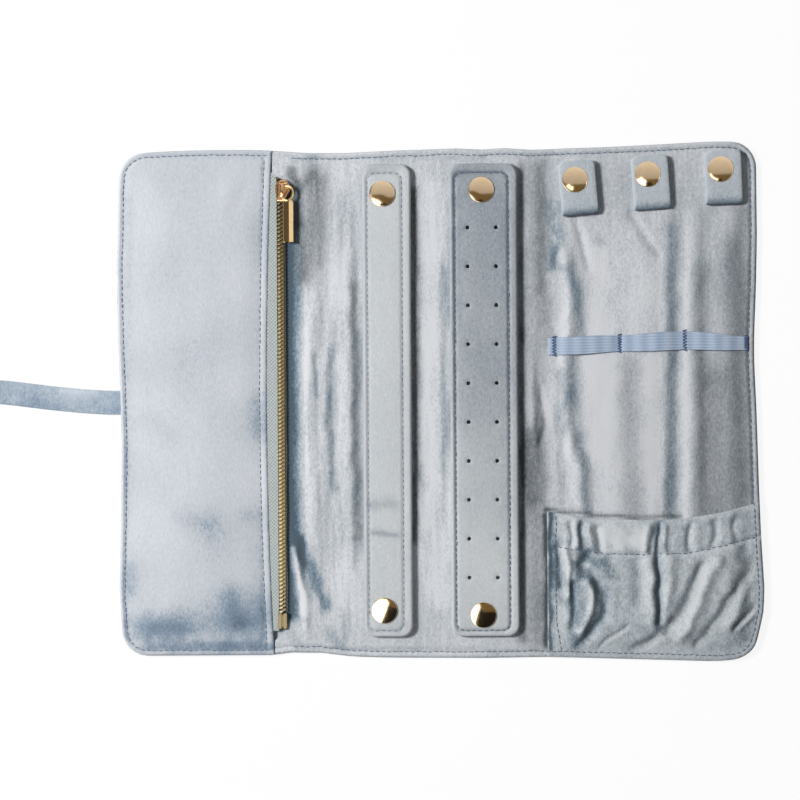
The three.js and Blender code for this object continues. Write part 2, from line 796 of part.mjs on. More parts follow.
// Keeper band round the folded tie
function keeperBand() {
  const { y, z } = hankPoints[0];
  const x = hankPoints[0].x - hankRunLength / 2;
  const half = tieWidth / 2 + keeperPlay;
  const low = z - tieThickness / 2 - keeperPlay;
  const high = hankPoints[hankPoints.length - 1].z + tieThickness / 2 + keeperPlay;
  const [x0, x1] = [x - keeperWidth / 2, x + keeperWidth / 2];
  const wall = keeperThickness;
  const outer = block(x0, y - half - wall, low - wall, x1, y + half + wall, high + wall);
  return cut(outer, block(x0 - overcut, y - half, low, x1 + overcut, y + half, high));
}

addPiece(leftFlap, "tie_keeper", keeperBand(), elasticCloth);

// Soft folds between the panels, shell and lining sewn flat without padding
function foldStrip(x0, x1) {
  return block(x0 + layerGap, -halfWidth, 0, x1 - layerGap, halfWidth, foldCloth);
}

addPiece(middle, "left_fold_strip", foldStrip(leftFoldX, middleX), velvet);
addPiece(middle, "right_fold_strip", foldStrip(rightFoldX, rightPanelX), velvet);

// Bars: padded strips over the middle panel, riveted at the low end and snapped down at the top end
const barHigh = halfWidth - barTopInset;
const barLow = barLowInset - halfWidth;
const barHingeY = barLow + barHingeFromEnd;
const barSeat = liningTop + barLift;
const barTop = barSeat + barSide + barCrown;
const bars = [
  {
    name: "ring",
    x: ringBarX,
    capX: ringCapX,
    width: ringBarWidth,
    snapY: barHigh - ringSnapFromEnd,
    rivetY: barLow + ringRivetFromEnd,
  },
  {
    name: "earring",
    x: earringBarX,
    capX: earringCapX,
    width: earringBarWidth,
    snapY: barHigh - earringSnapFromEnd,
    rivetY: barLow + earringRivetFromEnd,
  },
];

// Half width of a bar: drawn in along its length and rounded at its ends
function barHalf(width, y) {
  const fromEnd = Math.min(y - barLow, barHigh - y);
  const past = Math.max(barCorner - fromEnd, 0);
  const corner = barCorner - Math.sqrt(Math.max(barCorner ** 2 - past ** 2, 0));
  const along = (y - (barLow + barHigh) / 2) / ((barHigh - barLow) / 2);
  return width / 2 - barDrawIn * (1 - along ** 2) - corner;
}

function barPad({ x, width }, y0, y1) {
  const beside = (line) => [line - channelSpread, line, line + channelSpread];
  const sewn = [...beside(barStitchLeft), ...beside(width - barStitchRight)];
  const edges = [0, shoulder / 2, width - shoulder / 2, width];
  const flat = (barMiddleShare * width) / 2;
  const columns = rising([...edges, ...sewn, width / 2 - flat, width / 2 + flat]);
  const ends = [...[0, 0.12, 0.45, 1].map((share) => share * barCorner), ...beside(barStitchEnd)];
  const rounds = [...ends.map((step) => barLow + step), ...ends.map((step) => barHigh - step)];
  const steps = Math.ceil((y1 - y0) / barStation);
  const rows = rising([...evenly(y0, y1, steps), ...rounds.filter((y) => y > y0 && y < y1)]);
  const upper = (inset, y) => {
    const across = (2 * inset) / width - 1;
    const crown = barCrown * (1 - across ** 2);
    const fromEnd = Math.min(y - barLow, barHigh - y);
    const insideSide = Math.min(inset - barStitchLeft, width - barStitchRight - inset);
    const stitched = channel(Math.min(insideSide, fromEnd - barStitchEnd));
    const endDrop = barEndDrop * Math.max(0, 1 - fromEnd / barCorner) ** 2;
    const drop = shoulderDrop(Math.min(inset, width - inset));
    return [x + across * barHalf(width, y), y, barSeat + barSide + crown - stitched - drop - endDrop];
  };
  const lower = (inset, y) => [x + ((2 * inset) / width - 1) * barHalf(width, y), y, barSeat];
  return gridPad(columns, rows, upper, lower);
}

// Metal pieces: a domed cap on its post, a socket ring, a stud and a rivet back, each with its seat at z 0
function domedCap(postLength) {
  const post = postDiameter / 2;
  const rim = capDiameter / 2;
  const dome = evenly(0, 1, 4).map((t) => {
    const angle = (t * Math.PI) / 2;
    return [rim * Math.cos(angle), capRim + (capHeight - capRim) * Math.sin(angle)];
  });
  dome[dome.length - 1][0] = 0;
  const shank = [[0, -postLength], [post, -postLength], [post, 0], [rim - capRim, 0]];
  return turned([...shank, ...dome], capSides);
}

function socketRing() {
  const outer = socketDiameter / 2;
  const bore = socketBore / 2;
  const ring = [[bore, 0], [outer, 0], [outer, socketHeight], [bore, socketHeight], [bore, 0]];
  return turned(ring, hiddenSides);
}

function snapStud(stemLength) {
  const stem = stemDiameter / 2;
  const flange = studDiameter / 2;
  const knob = knobDiameter / 2;
  const top = studFlange + knobHeight;
  return turned(
    [
      [0, -stemLength],
      [stem, -stemLength],
      [stem, 0],
      [flange, 0],
      [flange, studFlange],
      [knob * knobNeckShare, studFlange],
      [knob, studFlange + knobHeight / 2],
      [knob * knobNeckShare, top],
      [0, top],
    ],
    hiddenSides,
  );
}

function rivetBack() {
  const flange = rivetBackDiameter / 2;
  return turned([[0, 0], [flange, 0], [flange, rivetBackHeight], [0, rivetBackHeight]], hiddenSides);
}

// Heights of a snap above the surface that its stud stands on
const socketFrom = layerGap + studFlange + snapPlay;
const strapFrom = socketFrom + socketHeight + layerGap;
const postHole = postDiameter + postPlay;
const capSeat = barTop + layerGap;

const middlePadCuts = [];
const middleLiningCuts = [];

bars.forEach((bar) => {
  const { capX, snapY, rivetY } = bar;
  const moving = addGroup(middle);
  const recessTop = liningTop + strapFrom;
  const snapHole = drill(postHole, capX, snapY, barSeat - overcut, barTop + overcut);
  const recess = drill(socketDiameter + postPlay, capX, snapY, barSeat - overcut, recessTop);
  const pad = barPad(bar, barHingeY + cutGap / 2, barHigh);
  const holes = bar.name === "earring" ? earHoles(earHoleX) : [];
  addPiece(moving, bar.name + "_bar", cut(pad, snapHole, recess, ...holes), velvet);
  const cap = addPiece(moving, bar.name + "_snap_cap", domedCap(capSeat - recessTop), roseGold);
  cap.position.set(capX, snapY, capSeat);
  const socket = addPiece(moving, bar.name + "_snap_socket", socketRing(), brass);
  socket.position.set(capX, snapY, liningTop + socketFrom);
  const stud = addPiece(middle, bar.name + "_snap_stud", snapStud(liningCloth), brass);
  stud.position.set(capX, snapY, onLining);
  middleLiningCuts.push(drill(stemDiameter + postPlay, capX, snapY, 0, 2 * liningTop));

  const anchor = barPad(bar, barLow, barHingeY - cutGap / 2);
  const rivetHole = drill(postHole, capX, rivetY, barSeat - overcut, barTop + overcut);
  addPiece(middle, bar.name + "_bar_anchor", cut(anchor, rivetHole), velvet);
  const rivetCap = addPiece(middle, bar.name + "_rivet_cap", domedCap(capSeat - padTop), roseGold);
  rivetCap.position.set(capX, rivetY, capSeat);
  const back = addPiece(middle, bar.name + "_rivet_back", rivetBack(), brass);
  back.position.set(capX, rivetY, padTop - layerGap - rivetBackHeight);
  const recessLow = padTop - rivetBackHeight - 2 * layerGap;
  middlePadCuts.push(drill(rivetBackDiameter + postPlay, capX, rivetY, recessLow, liningTop));
  middleLiningCuts.push(drill(postHole, capX, rivetY, 0, 2 * liningTop));
});

// Two columns of holes through the earring bar
function earHoles(x) {
  const rows = evenly(barLow + earLowInset, barHigh - earTopInset, earRows - 1);
  const columns = [x - earColumnPitch / 2, x + earColumnPitch / 2];
  const [low, high] = [barSeat - overcut, barTop + overcut];
  return columns.flatMap((at) => rows.map((y) => drill(earHole, at, y, low, high, earHoleSides)));
}

// Middle panel, with its lining kept flat under the bars and at the edges
function middleCalm(x, y) {
  const besideBars = bars.map((bar) => Math.abs(x - bar.x) - bar.width / 2);
  const clear = smooth(0, ridgeFade, Math.min(...besideBars));
  const sides = smooth(0, ridgeFade, x - middleX) * smooth(0, ridgeFade, rightFoldX - x);
  return clear * sides * smooth(0, ridgeEndFade, halfWidth - edgeSeam - Math.abs(y));
}

addPiece(middle, "middle_outer_shell", outerShell(panels.middle), velvet);
addPiece(middle, "middle_padding", cut(panelPadding(panels.middle), ...middlePadCuts), foam);
const barSides = bars.flatMap(({ x, width }) => [x - width / 2, x + width / 2]);
const middleLining = foldedLining(panels.middle, middleRidges, barSides, [], middleCalm);
addPiece(middle, "middle_lining", cut(middleLining, ...middleLiningCuts), shadedVelvet);

// Necklace tabs: a base strap on the panel and a front strap that folds over it from the loop at its low end
const tabFoldY = halfWidth - tabFoldFromEdge;
const tabEndY = halfWidth - tabEndFromEdge;
const tabSnapY = halfWidth - tabSnapFromEdge;
const tabLoop = strapFrom;
const tabOuter = tabCloth + tabLoop / 2;
const tabAxisZ = onLining + tabOuter;

// Profile of half the folded strap: side is +1 for the front strap, -1 for the base strap
function tabProfile(side) {
  const turn = evenly(0, 1, 4).map((t) => (t * Math.PI) / 2);
  const split = Math.asin(cutGap / 2 / (tabLoop / 2));
  const arc = (radius) =>
    turn.map((angle) => {
      const from = Math.max(angle, split);
      return [tabFoldY + tabOuter - radius * Math.cos(from), side * radius * Math.sin(from)];
    });
  const outer = [...arc(tabOuter), [tabEndY, side * tabOuter]];
  const inner = [...arc(tabLoop / 2), [tabEndY, (side * tabLoop) / 2]];
  const points = [...outer, ...inner.reverse()];
  return side > 0 ? points.reverse() : points;
}

function tabStrap(side) {
  const strap = alongX(tabProfile(side), -tabWidth / 2, tabWidth / 2);
  const ends = [0, 0, tabCorner, tabCorner];
  const outline = roundedOutline(-tabWidth / 2, tabFoldY - overcut, tabWidth / 2, tabEndY, ends);
  const trimmed = keepInside(strap, plate(outline, -2 * tabOuter, 2 * tabOuter));
  const hole = side > 0 ? postHole : stemDiameter + postPlay;
  return cut(trimmed, drill(hole, tabCapShift, tabSnapY, -2 * tabOuter, 2 * tabOuter));
}

tabRises.forEach((rise, tab) => {
  const name = "necklace_tab_" + (tab + 1);
  const base = addGroup(rightPanel, rightPanelX + tabFirst + tab * tabPitch, rise, tabAxisZ);
  const front = addGroup(base);
  addPiece(base, name + "_base", tabStrap(-1), velvet);
  const stud = addPiece(base, name + "_stud", snapStud(tabCloth), brass);
  stud.position.set(tabCapShift, tabSnapY, layerGap - tabLoop / 2);
  addPiece(front, name + "_strap", tabStrap(1), velvet);
  const cap = addPiece(front, name + "_cap", domedCap(tabCloth + layerGap), roseGold);
  cap.position.set(tabCapShift, tabSnapY, tabOuter + layerGap);
  const socket = addPiece(front, name + "_socket", socketRing(), brass);
  socket.position.set(tabCapShift, tabSnapY, socketFrom - tabLoop / 2);
});

// The right panel and what is sewn flat to it widen a little towards the free end
function flared(geometry) {
  const place = geometry.attributes.position;
  for (let i = 0; i < place.count; i++) {
    const along = Math.max(0, (place.getX(i) - rightPanelX) / rightPanelWidth);
    place.setY(i, place.getY(i) * (1 + (panelFlare / halfWidth) * along));
  }
  geometry.computeVertexNormals();
  return geometry;
}

// Elastic band: flat at its tacks and arched between them
const firstTack = rightPanelX + tackInset;
const lastTack = rightEdge - tackInset;
const tacks = evenly(firstTack, lastTack, tackCount - 1);

function elasticLift(x) {
  const span = (lastTack - firstTack) / (tackCount - 1);
  const past = (((x - firstTack) % span) + span) % span;
  const arch = THREE.MathUtils.clamp((past - tackWidth) / (span - 2 * tackWidth), 0, 1);
  return x < firstTack || x > lastTack ? 0 : elasticRise * Math.sin(Math.PI * arch);
}

function elasticBand() {
  const span = (lastTack - firstTack) / (tackCount - 1);
  const archEnds = tacks.slice(1).map((x) => [x - span + tackWidth, x - tackWidth]);
  const arches = archEnds.flatMap(([from, to]) => evenly(from, to, 8));
  const stations = [rightPanelX + elasticInset, ...arches, rightEdge - edgeSeam - elasticInset];
  const under = stations.map((x) => [x, onLining + elasticLift(x)]);
  const over = stations.map((x) => [x, onLining + elasticLift(x) + elasticThickness]);
  return alongY([...under, ...over.reverse()], elasticY - elasticWidth / 2, elasticY + elasticWidth / 2);
}

addPiece(rightPanel, "elastic_band", flared(elasticBand()), elasticCloth);
tacks.forEach((x, i) => {
  const half = elasticWidth / 2 + tackOverhang;
  const low = onLining + elasticThickness + layerGap;
  const [x0, x1] = [x - tackWidth / 2, x + tackWidth / 2];
  const tack = block(x0, elasticY - half, low, x1, elasticY + half, low + tackThickness);
  addPiece(rightPanel, "elastic_tack_" + (i + 1), flared(tack), thread);
});

// Gathered pocket: a domed wall sewn down on three sides, its mouth sagging between the seams
const gatherLeft = rightPanelX + gatherInset;
const gatherRight = rightEdge - gatherInset;
const gatherLow = gatherInset - halfWidth;
const gatherX = (gatherLeft + gatherRight) / 2;
const gatherHalf = (gatherRight - gatherLeft) / 2;

function mouthY(x) {
  const across = (x - gatherX) / gatherHalf;
  return gatherMouth - halfWidth - gatherSag * (1 - across ** 2);
}

// Height of the wall's inner face: domed inside the seams, with gathers that fade out at them
function gatherUnder(x, y) {
  const across = Math.min(Math.abs(x - gatherX) / (gatherHalf - gatherSeam), 1);
  const rise = smooth(gatherSeam, gatherRise, y - gatherLow);
  const dome = (1 - across ** gatherSquareness) * rise;
  const gathers = Math.cos((gatherFolds * Math.PI * (x - gatherX)) / gatherHalf + y / gatherLean);
  return onLining + dome * (gatherHeight + gatherFoldHeight * gathers);
}

function gatheredPocket() {
  const inside = evenly(gatherLeft + gatherSeam, gatherRight - gatherSeam, 3 * gatherFolds);
  const columns = rising([gatherLeft, ...inside, gatherRight]);
  const shares = [0, ...evenly(gatherSeam / gatherMouth, 1, 7)];
  const place = (x, share) => gatherLow + share * (mouthY(x) - gatherLow);
  const upper = (x, share) => [x, place(x, share), gatherUnder(x, place(x, share)) + gatherCloth];
  const lower = (x, share) => [x, place(x, share), gatherUnder(x, place(x, share))];
  const wall = gridPad(columns, shares, upper, lower);
  const corners = [0, cornerRadius - gatherInset, 0, 0];
  const outline = roundedOutline(gatherLeft, gatherLow, gatherRight, 0, corners);
  return keepInside(wall, plate(outline, 0, 4 * gatherHeight));
}

function mouthElastic() {
  const columns = evenly(gatherLeft + mouthElasticInset, gatherRight - mouthElasticInset, 3 * gatherFolds);
  const drops = [mouthElasticDrop + mouthElasticWidth, mouthElasticDrop];
  const under = (x, drop) => gatherUnder(x, mouthY(x) - drop) - cutGap / 2;
  const upper = (x, drop) => [x, mouthY(x) - drop, under(x, drop)];
  const lower = (x, drop) => [x, mouthY(x) - drop, under(x, drop) - mouthElasticThickness];
  return gridPad(columns, drops, upper, lower);
}

addPiece(rightPanel, "gathered_pocket", flared(gatheredPocket()), velvet);
addPiece(rightPanel, "pocket_mouth_elastic", flared(mouthElastic()), elasticCloth);

// Right panel, with its lining kept flat under the tabs, the elastic and the pocket
const bandReach = elasticWidth / 2 + tackOverhang;
const calmTop = tabFoldY + Math.min(...tabRises);
const calmLow = gatherMouth - halfWidth;

function rightCalm(x, y) {
  const sides = smooth(0, ridgeFade, x - rightPanelX) * smooth(0, ridgeFade, rightEdge - edgeSeam - x);
  const belowTabs = smooth(0, 2 * ridgeFade, calmTop - y);
  const abovePocket = smooth(0, 2 * ridgeFade, y - calmLow);
  const offBand = smooth(0, ridgeFade, Math.abs(y - elasticY) - bandReach);
  return sides * belowTabs * abovePocket * offBand;
}

addPiece(rightPanel, "right_outer_shell", flared(outerShell(panels.right)), velvet);
addPiece(rightPanel, "right_padding", flared(panelPadding(panels.right)), foam);
const bandSides = [bandReach, bandReach + ridgeFade];
const besideBand = bandSides.flatMap((reach) => [elasticY - reach, elasticY + reach]);
const rightRows = [...besideBand, calmTop, calmTop - 2 * ridgeFade, calmLow];
const rightLining = foldedLining(panels.right, rightRidges, [], rightRows, rightCalm);
addPiece(rightPanel, "right_lining", flared(rightLining), shadedVelvet);

export default roll;
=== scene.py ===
import json
import bmesh
import bpy
import numpy as np
from mathutils import Matrix, Vector
from mathutils.bvhtree import BVHTree

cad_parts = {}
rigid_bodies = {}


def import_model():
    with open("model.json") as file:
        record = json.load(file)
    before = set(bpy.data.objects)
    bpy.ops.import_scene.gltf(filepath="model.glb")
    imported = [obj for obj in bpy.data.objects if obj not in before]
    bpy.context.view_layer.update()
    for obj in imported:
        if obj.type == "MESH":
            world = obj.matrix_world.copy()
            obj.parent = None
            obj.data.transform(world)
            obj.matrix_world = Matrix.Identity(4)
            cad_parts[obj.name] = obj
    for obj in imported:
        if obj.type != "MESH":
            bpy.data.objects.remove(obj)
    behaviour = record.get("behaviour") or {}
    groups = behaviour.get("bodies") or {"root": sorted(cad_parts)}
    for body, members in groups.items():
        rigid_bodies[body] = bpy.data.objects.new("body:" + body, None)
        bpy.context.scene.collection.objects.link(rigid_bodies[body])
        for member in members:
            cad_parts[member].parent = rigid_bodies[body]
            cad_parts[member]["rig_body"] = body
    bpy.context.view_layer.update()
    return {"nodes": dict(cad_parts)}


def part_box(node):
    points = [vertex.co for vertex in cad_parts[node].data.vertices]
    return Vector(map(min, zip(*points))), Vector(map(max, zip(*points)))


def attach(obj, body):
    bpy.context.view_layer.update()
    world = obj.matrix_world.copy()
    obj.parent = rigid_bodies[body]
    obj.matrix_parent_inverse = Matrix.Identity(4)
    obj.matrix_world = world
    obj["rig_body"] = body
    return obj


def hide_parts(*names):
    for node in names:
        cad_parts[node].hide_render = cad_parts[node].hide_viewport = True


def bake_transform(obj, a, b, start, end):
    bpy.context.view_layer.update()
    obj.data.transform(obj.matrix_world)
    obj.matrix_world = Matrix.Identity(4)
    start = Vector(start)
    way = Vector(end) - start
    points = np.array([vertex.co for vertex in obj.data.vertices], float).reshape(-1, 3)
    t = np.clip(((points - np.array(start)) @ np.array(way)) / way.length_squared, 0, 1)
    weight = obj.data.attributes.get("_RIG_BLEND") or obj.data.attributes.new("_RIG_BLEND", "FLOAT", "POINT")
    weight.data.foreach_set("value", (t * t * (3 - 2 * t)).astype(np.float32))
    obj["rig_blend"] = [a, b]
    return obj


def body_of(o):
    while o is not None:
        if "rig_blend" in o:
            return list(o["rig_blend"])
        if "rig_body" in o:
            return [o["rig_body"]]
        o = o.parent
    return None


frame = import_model()
scene = bpy.context.scene
mm = 0.001
dice = np.random.default_rng(11)

# lines of the open roll in millimetres, left to right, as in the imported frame
roll = {"leftEdge": -150.0, "leftFold": -78.0, "middle": -64.0, "rightFold": 37.0, "rightPanel": 49.5,
        "rightEdge": 150.0, "half": 118.5, "corner": 12.0, "flare": 3.0, "split": 21.0}
leftBend = dict(start=(-0.078, 0, 0), end=(-0.064, 0, 0))  # where the cloth turns at the left fold
rightBend = dict(start=(0.037, 0, 0), end=(0.0495, 0, 0))  # and at the right fold
print("frame loaded:", len(frame["nodes"]), "nodes")


# numbers and lattices
def smooth(low, high, value):  # eased step, t*t*(3 - 2t)
    t = np.clip((value - low) / (high - low), 0, 1)
    return t * t * (3 - 2 * t)


def rounded(t):  # quarter circle from 0 to 1
    return np.sqrt(np.clip(1 - (1 - np.clip(t, 0, 1)) ** 2, 0, 1))


def powered(value, power):  # sign(v) * |v|^power
    return np.sign(value) * np.abs(value) ** power


def around(count):  # angles all round
    return np.linspace(0, 2 * np.pi, count, endpoint=False)


def stations(*runs):  # joined runs of values, rising, near doubles left out
    values = np.sort(np.concatenate([np.atleast_1d(run).astype(float) for run in runs]))
    return values[np.concatenate([[True], np.diff(values) > 1e-3])]


def evenSteps(low, high, step):
    return np.linspace(low, high, max(2, int(round((high - low) / step)) + 1))


def columns(x, share):  # x repeated for every share across
    return np.repeat(x[:, None], len(share), 1)


def placed(*axes):  # x, y and z, numbers or lattices, as points
    return np.stack(np.broadcast_arrays(*axes), -1)


def quads(rows, cols, closeCols=False, flip=False, start=0, closeRows=False):  # faces of a lattice
    i, j = np.meshgrid(np.arange(rows - (not closeRows)), np.arange(cols - (not closeCols)), indexing="ij")
    h, k = (i + 1) % rows, (j + 1) % cols
    faces = np.stack([i * cols + j, i * cols + k, h * cols + k, h * cols + j], -1).reshape(-1, 4)
    return start + (faces[:, ::-1] if flip else faces)


def tubeFaces(rings, sides):  # rings joined into a tube, both ends capped
    last = (rings - 1) * sides
    caps = [list(range(sides))[::-1], list(range(last, last + sides))]
    return quads(rings, sides, closeCols=True).tolist() + caps


def insetOf(x, y, x0, x1, y0, y1, radius):  # distance inwards from the edge of a rounded rectangle
    qx = np.abs(x - (x0 + x1) / 2) - ((x1 - x0) / 2 - radius)
    qy = np.abs(y - (y0 + y1) / 2) - ((y1 - y0) / 2 - radius)
    return radius - np.hypot(np.maximum(qx, 0), np.maximum(qy, 0)) - np.minimum(np.maximum(qx, qy), 0)


curveGrid = {"reach": 140, "count": 561, "window": 43}  # half a millimetre apart, smoothed over 20 mm


def curveOver(y, knotsY, knotsV):  # values at knots, joined by a smoothed line
    order = np.argsort(knotsY)
    fine = np.linspace(-curveGrid["reach"], curveGrid["reach"], curveGrid["count"])
    values = np.interp(fine, np.asarray(knotsY, float)[order], np.asarray(knotsV, float)[order])
    weight = np.hanning(curveGrid["window"])
    padded = np.pad(values, curveGrid["window"] // 2, mode="edge")
    return np.interp(y, fine, np.convolve(padded, weight / weight.sum(), mode="valid"))


def ridge(x, y, crest, leftSpread, rightSpread, fade=8):  # a fold: height * exp(-(distance / spread)^2)
    crest = np.asarray(crest, float)
    away = x - curveOver(y, crest[:, 1], crest[:, 0])
    ends = np.concatenate([[crest[:, 1].max() + fade], crest[:, 1], [crest[:, 1].min() - fade]])
    height = curveOver(y, ends, np.concatenate([[0], crest[:, 2], [0]]))
    return height * np.exp(-(away / np.where(away < 0, leftSpread, rightSpread)) ** 2)


def stroke(x, y, line, width):  # 1 on a drawn line, exp(-(distance / width)^2) off it
    line = np.asarray(line, float)[:, :2]
    near = np.full(np.shape(x), 1e9)
    for a, b in zip(line[:-1], line[1:]):
        d = b - a
        t = np.clip(((x - a[0]) * d[0] + (y - a[1]) * d[1]) / (d @ d), 0, 1)
        near = np.minimum(near, np.hypot(x - a[0] - t * d[0], y - a[1] - t * d[1]))
    return np.exp(-(near / width) ** 2)


def wander(x, y, size, seed):  # soft uneven field, about -1 to 1: ten sine waves of about that size
    waves = np.random.default_rng(seed)
    total = np.zeros(np.broadcast(x, y).shape)
    for _ in range(10):
        angle, phase = waves.uniform(0, 2 * np.pi, 2)
        rate = 2 * np.pi / (size * waves.uniform(0.6, 1.6))
        total += np.sin(rate * (x * np.cos(angle) + y * np.sin(angle)) + phase)
    return total / 4


def swayed(x, y, amount, seed, size=16):  # places drawn a little to and fro, so that straight lines wander
    return x + amount * wander(x, y, size, seed), y + amount * wander(x, y, size, seed + 1)


def flared(x, y):  # the right panel widens towards its free end
    along = np.clip((x - roll["rightPanel"]) / (roll["rightEdge"] - roll["rightPanel"]), 0, None)
    return y * (1 + roll["flare"] / roll["half"] * along)


def rimInset(x, y):  # distance inwards from the roll's outline
    box = roll["leftEdge"], roll["rightEdge"], -roll["half"], roll["half"]
    return insetOf(x, y / flared(x, 1.0), *box, roll["corner"])


def outlineHalf(x, inset=0.0):  # half the roll's width at x: straight, with a circle's cut at the corners
    radius = roll["corner"] - inset
    near = np.clip(roll["rightEdge"] - inset - np.abs(x), 0, radius)
    return flared(x, roll["half"] - inset - radius + np.sqrt(radius ** 2 - (radius - near) ** 2))


edgeWays = {  # how far each edge strays outwards from the straight outline: places along it, millimetres
    "top": ([-150, -138, -126, -110, -90, -80, -62, -45, -20, 10, 20, 30, 43, 60, 80, 100, 128, 142, 150],
            [0, 0.2, 0.9, 1.3, 1.2, 0.9, -0.4, -0.6, 0.5, 1.3, 0.5, 1.3, 0.4, 0.6, 0.5, 0.8, 1.3, 0.8, 0.3]),
    "low": ([-150, -80, -70, -56, -42, -25, 20, 45, 60, 130, 143, 150],
            [0, 0, -1.2, -1.0, 0.8, 1.4, 1.8, 1.5, 1.4, 1.5, 0, 0]),
    "left": ([-111, -88, -53, -18, 18, 30, 65, 77, 100, 112], [0, 1.4, 0.5, 0, 0.9, 1.4, 1.9, 1.4, 0.9, 0]),
    "right": ([-111, -99, -88, -64, -41, -6, 18, 30, 53, 77, 112],
              [-0.9, 1.9, 2.3, 0.9, 0, -0.9, -1.9, -1.9, -0.9, -0.3, -0.5])}
edgeFade = {"acrossX": (112, 150), "acrossY": (85, 116)}  # the ways grow from the first line to the second


def shaped(x, y):  # the outline's small ways, fading out inside the roll
    away = {side: np.interp(x if side in ("top", "low") else y, *ways) for side, ways in edgeWays.items()}
    wayX = np.where(x > 0, away["right"], -away["left"]) * smooth(*edgeFade["acrossX"], np.abs(x))
    wayY = np.where(y > 0, away["top"], -away["low"]) * smooth(*edgeFade["acrossY"], np.abs(y))
    return x + wayX, y + wayY


def resampled(line, step):  # the same line with points about step apart
    line = np.asarray(line, float)
    along = np.concatenate([[0], np.cumsum(np.linalg.norm(np.diff(line, axis=0), axis=1))])
    at = np.linspace(0, along[-1], max(2, int(np.ceil(along[-1] / step)) + 1))
    return np.stack([np.interp(at, along, line[:, k]) for k in range(line.shape[1])], 1)


def eased(line, turns=3, reach=1e9):  # corners cut, at most reach away from each corner, ends kept
    line = np.asarray(line, float)
    for _ in range(turns):
        step = np.diff(line, axis=0)
        cut = step * np.minimum(0.25, reach / np.maximum(np.linalg.norm(step, axis=1), 1e-9))[:, None]
        cuts = np.stack([line[:-1] + cut, line[1:] - cut], 1).reshape(-1, line.shape[1])
        line = np.concatenate([line[:1], cuts, line[-1:]])
    return line


def rimPath(fromX, endX, inset):  # along the top edge, round the end and back along the low edge
    sign, radius, half = (1 if endX > fromX else -1), roll["corner"] - inset, roll["half"] - inset
    turn = np.linspace(0, np.pi / 2, 13)
    hub = endX - sign * (inset + radius)
    top = placed(hub + sign * radius * np.sin(turn), half - radius + radius * np.cos(turn))
    low = placed(hub + sign * radius * np.cos(turn), radius - half - radius * np.sin(turn))
    line = resampled(np.concatenate([[(fromX, half)], top, low, [(fromX, -half)]]), 1.0)
    return placed(*shaped(line[:, 0], flared(line[:, 0], line[:, 1])))


# meshes
def tidyMesh(mesh, distance):  # doubles merged, normals outwards
    work = bmesh.new()
    work.from_mesh(mesh)
    bmesh.ops.remove_doubles(work, verts=work.verts, dist=distance)
    bmesh.ops.dissolve_degenerate(work, edges=work.edges, dist=1e-7)
    bmesh.ops.recalc_face_normals(work, faces=work.faces)
    work.to_mesh(mesh)
    work.free()


def makePiece(name, points, faces, material, slotName, merge=1e-6, sharp=55):
    mesh = bpy.data.meshes.new(name)
    places = np.asarray(points, float).reshape(-1, 3) * mm
    mesh.from_pydata(places.tolist(), [], [list(map(int, f)) for f in faces])
    if merge:
        tidyMesh(mesh, merge)
    mesh.polygons.foreach_set("use_smooth", np.ones(len(mesh.polygons), bool))
    mesh.set_sharp_from_angle(angle=np.radians(sharp))
    mesh.materials.append(material)
    piece = bpy.data.objects.new(name, mesh)
    scene.collection.objects.link(piece)
    return piece


def carried(piece, body, *nodes):  # the piece moves with one body and stands for these nodes
    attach(piece, body)
    if nodes:
        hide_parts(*nodes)


def bent(piece, bodies, bend, *nodes):  # the piece turns between two bodies and stands for these nodes
    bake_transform(piece, *bodies, **bend)
    if nodes:
        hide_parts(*nodes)


def placesOf(mesh):
    co = np.zeros(len(mesh.vertices) * 3, np.float32)
    mesh.vertices.foreach_get("co", co)
    return co.reshape(-1, 3).astype(float) / mm


def setPlaces(mesh, places):
    mesh.vertices.foreach_set("co", (places * mm).astype(np.float32).ravel())
    mesh.update()


def closedLattice(upper, lower):  # an upper and a lower lattice; the lower one takes the upper one's rim
    for edge in (np.s_[0, :], np.s_[-1, :], np.s_[:, 0], np.s_[:, -1]):
        lower[edge] = upper[edge]
    rows, cols = upper.shape[:2]
    points = np.concatenate([upper.reshape(-1, 3), lower.reshape(-1, 3)])
    return points, np.concatenate([quads(rows, cols), quads(rows, cols, flip=True, start=rows * cols)])


def padPiece(name, x, y, top, low, material, slotName):  # a closed pad: two heights over the same places
    return makePiece(name, *closedLattice(placed(x, y, top), placed(x, y, low)), material, slotName)


def sweepStrap(path, across, section, widths=None, loop=False):  # a section carried along a path, kept level
    path = np.asarray(path, float)
    ahead = np.roll(path, -1, 0) - np.roll(path, 1, 0) if loop else np.gradient(path, axis=0)
    ahead /= np.linalg.norm(ahead, axis=1)[:, None]
    up = np.cross(ahead, np.broadcast_to(across, path.shape))
    up /= np.linalg.norm(up, axis=1)[:, None]
    side = np.cross(up, ahead)
    wide = np.ones(len(path)) if widths is None else np.asarray(widths)
    sideways = side[:, None] * section[None, :, :1] * wide[:, None, None]
    points = path[:, None] + sideways + up[:, None] * section[None, :, 1:]
    rings, sides = points.shape[:2]
    faces = quads(rings, sides, closeCols=True, closeRows=True).tolist() if loop else tubeFaces(rings, sides)
    return points.reshape(-1, 3), faces


def strapSection(width, thick, steps=8, power=3.0):  # a flat strap's section: a superellipse
    t = around(4 * steps)
    return placed(powered(np.cos(t), 2 / 8) * width / 2, powered(np.sin(t), 2 / power) * thick / 2)


def tubeSection(radius, sides=8):
    return placed(np.cos(around(sides)), np.sin(around(sides))) * radius


def turnedPoints(profile, centre, sides):  # a profile of (radius, height) turned about an upright axis
    profile, t = np.asarray(profile, float), around(sides)
    radius, height = profile[:, :1], profile[:, 1:]
    points = placed(radius * np.cos(t), radius * np.sin(t), height)
    return points.reshape(-1, 3) + np.asarray(centre, float)


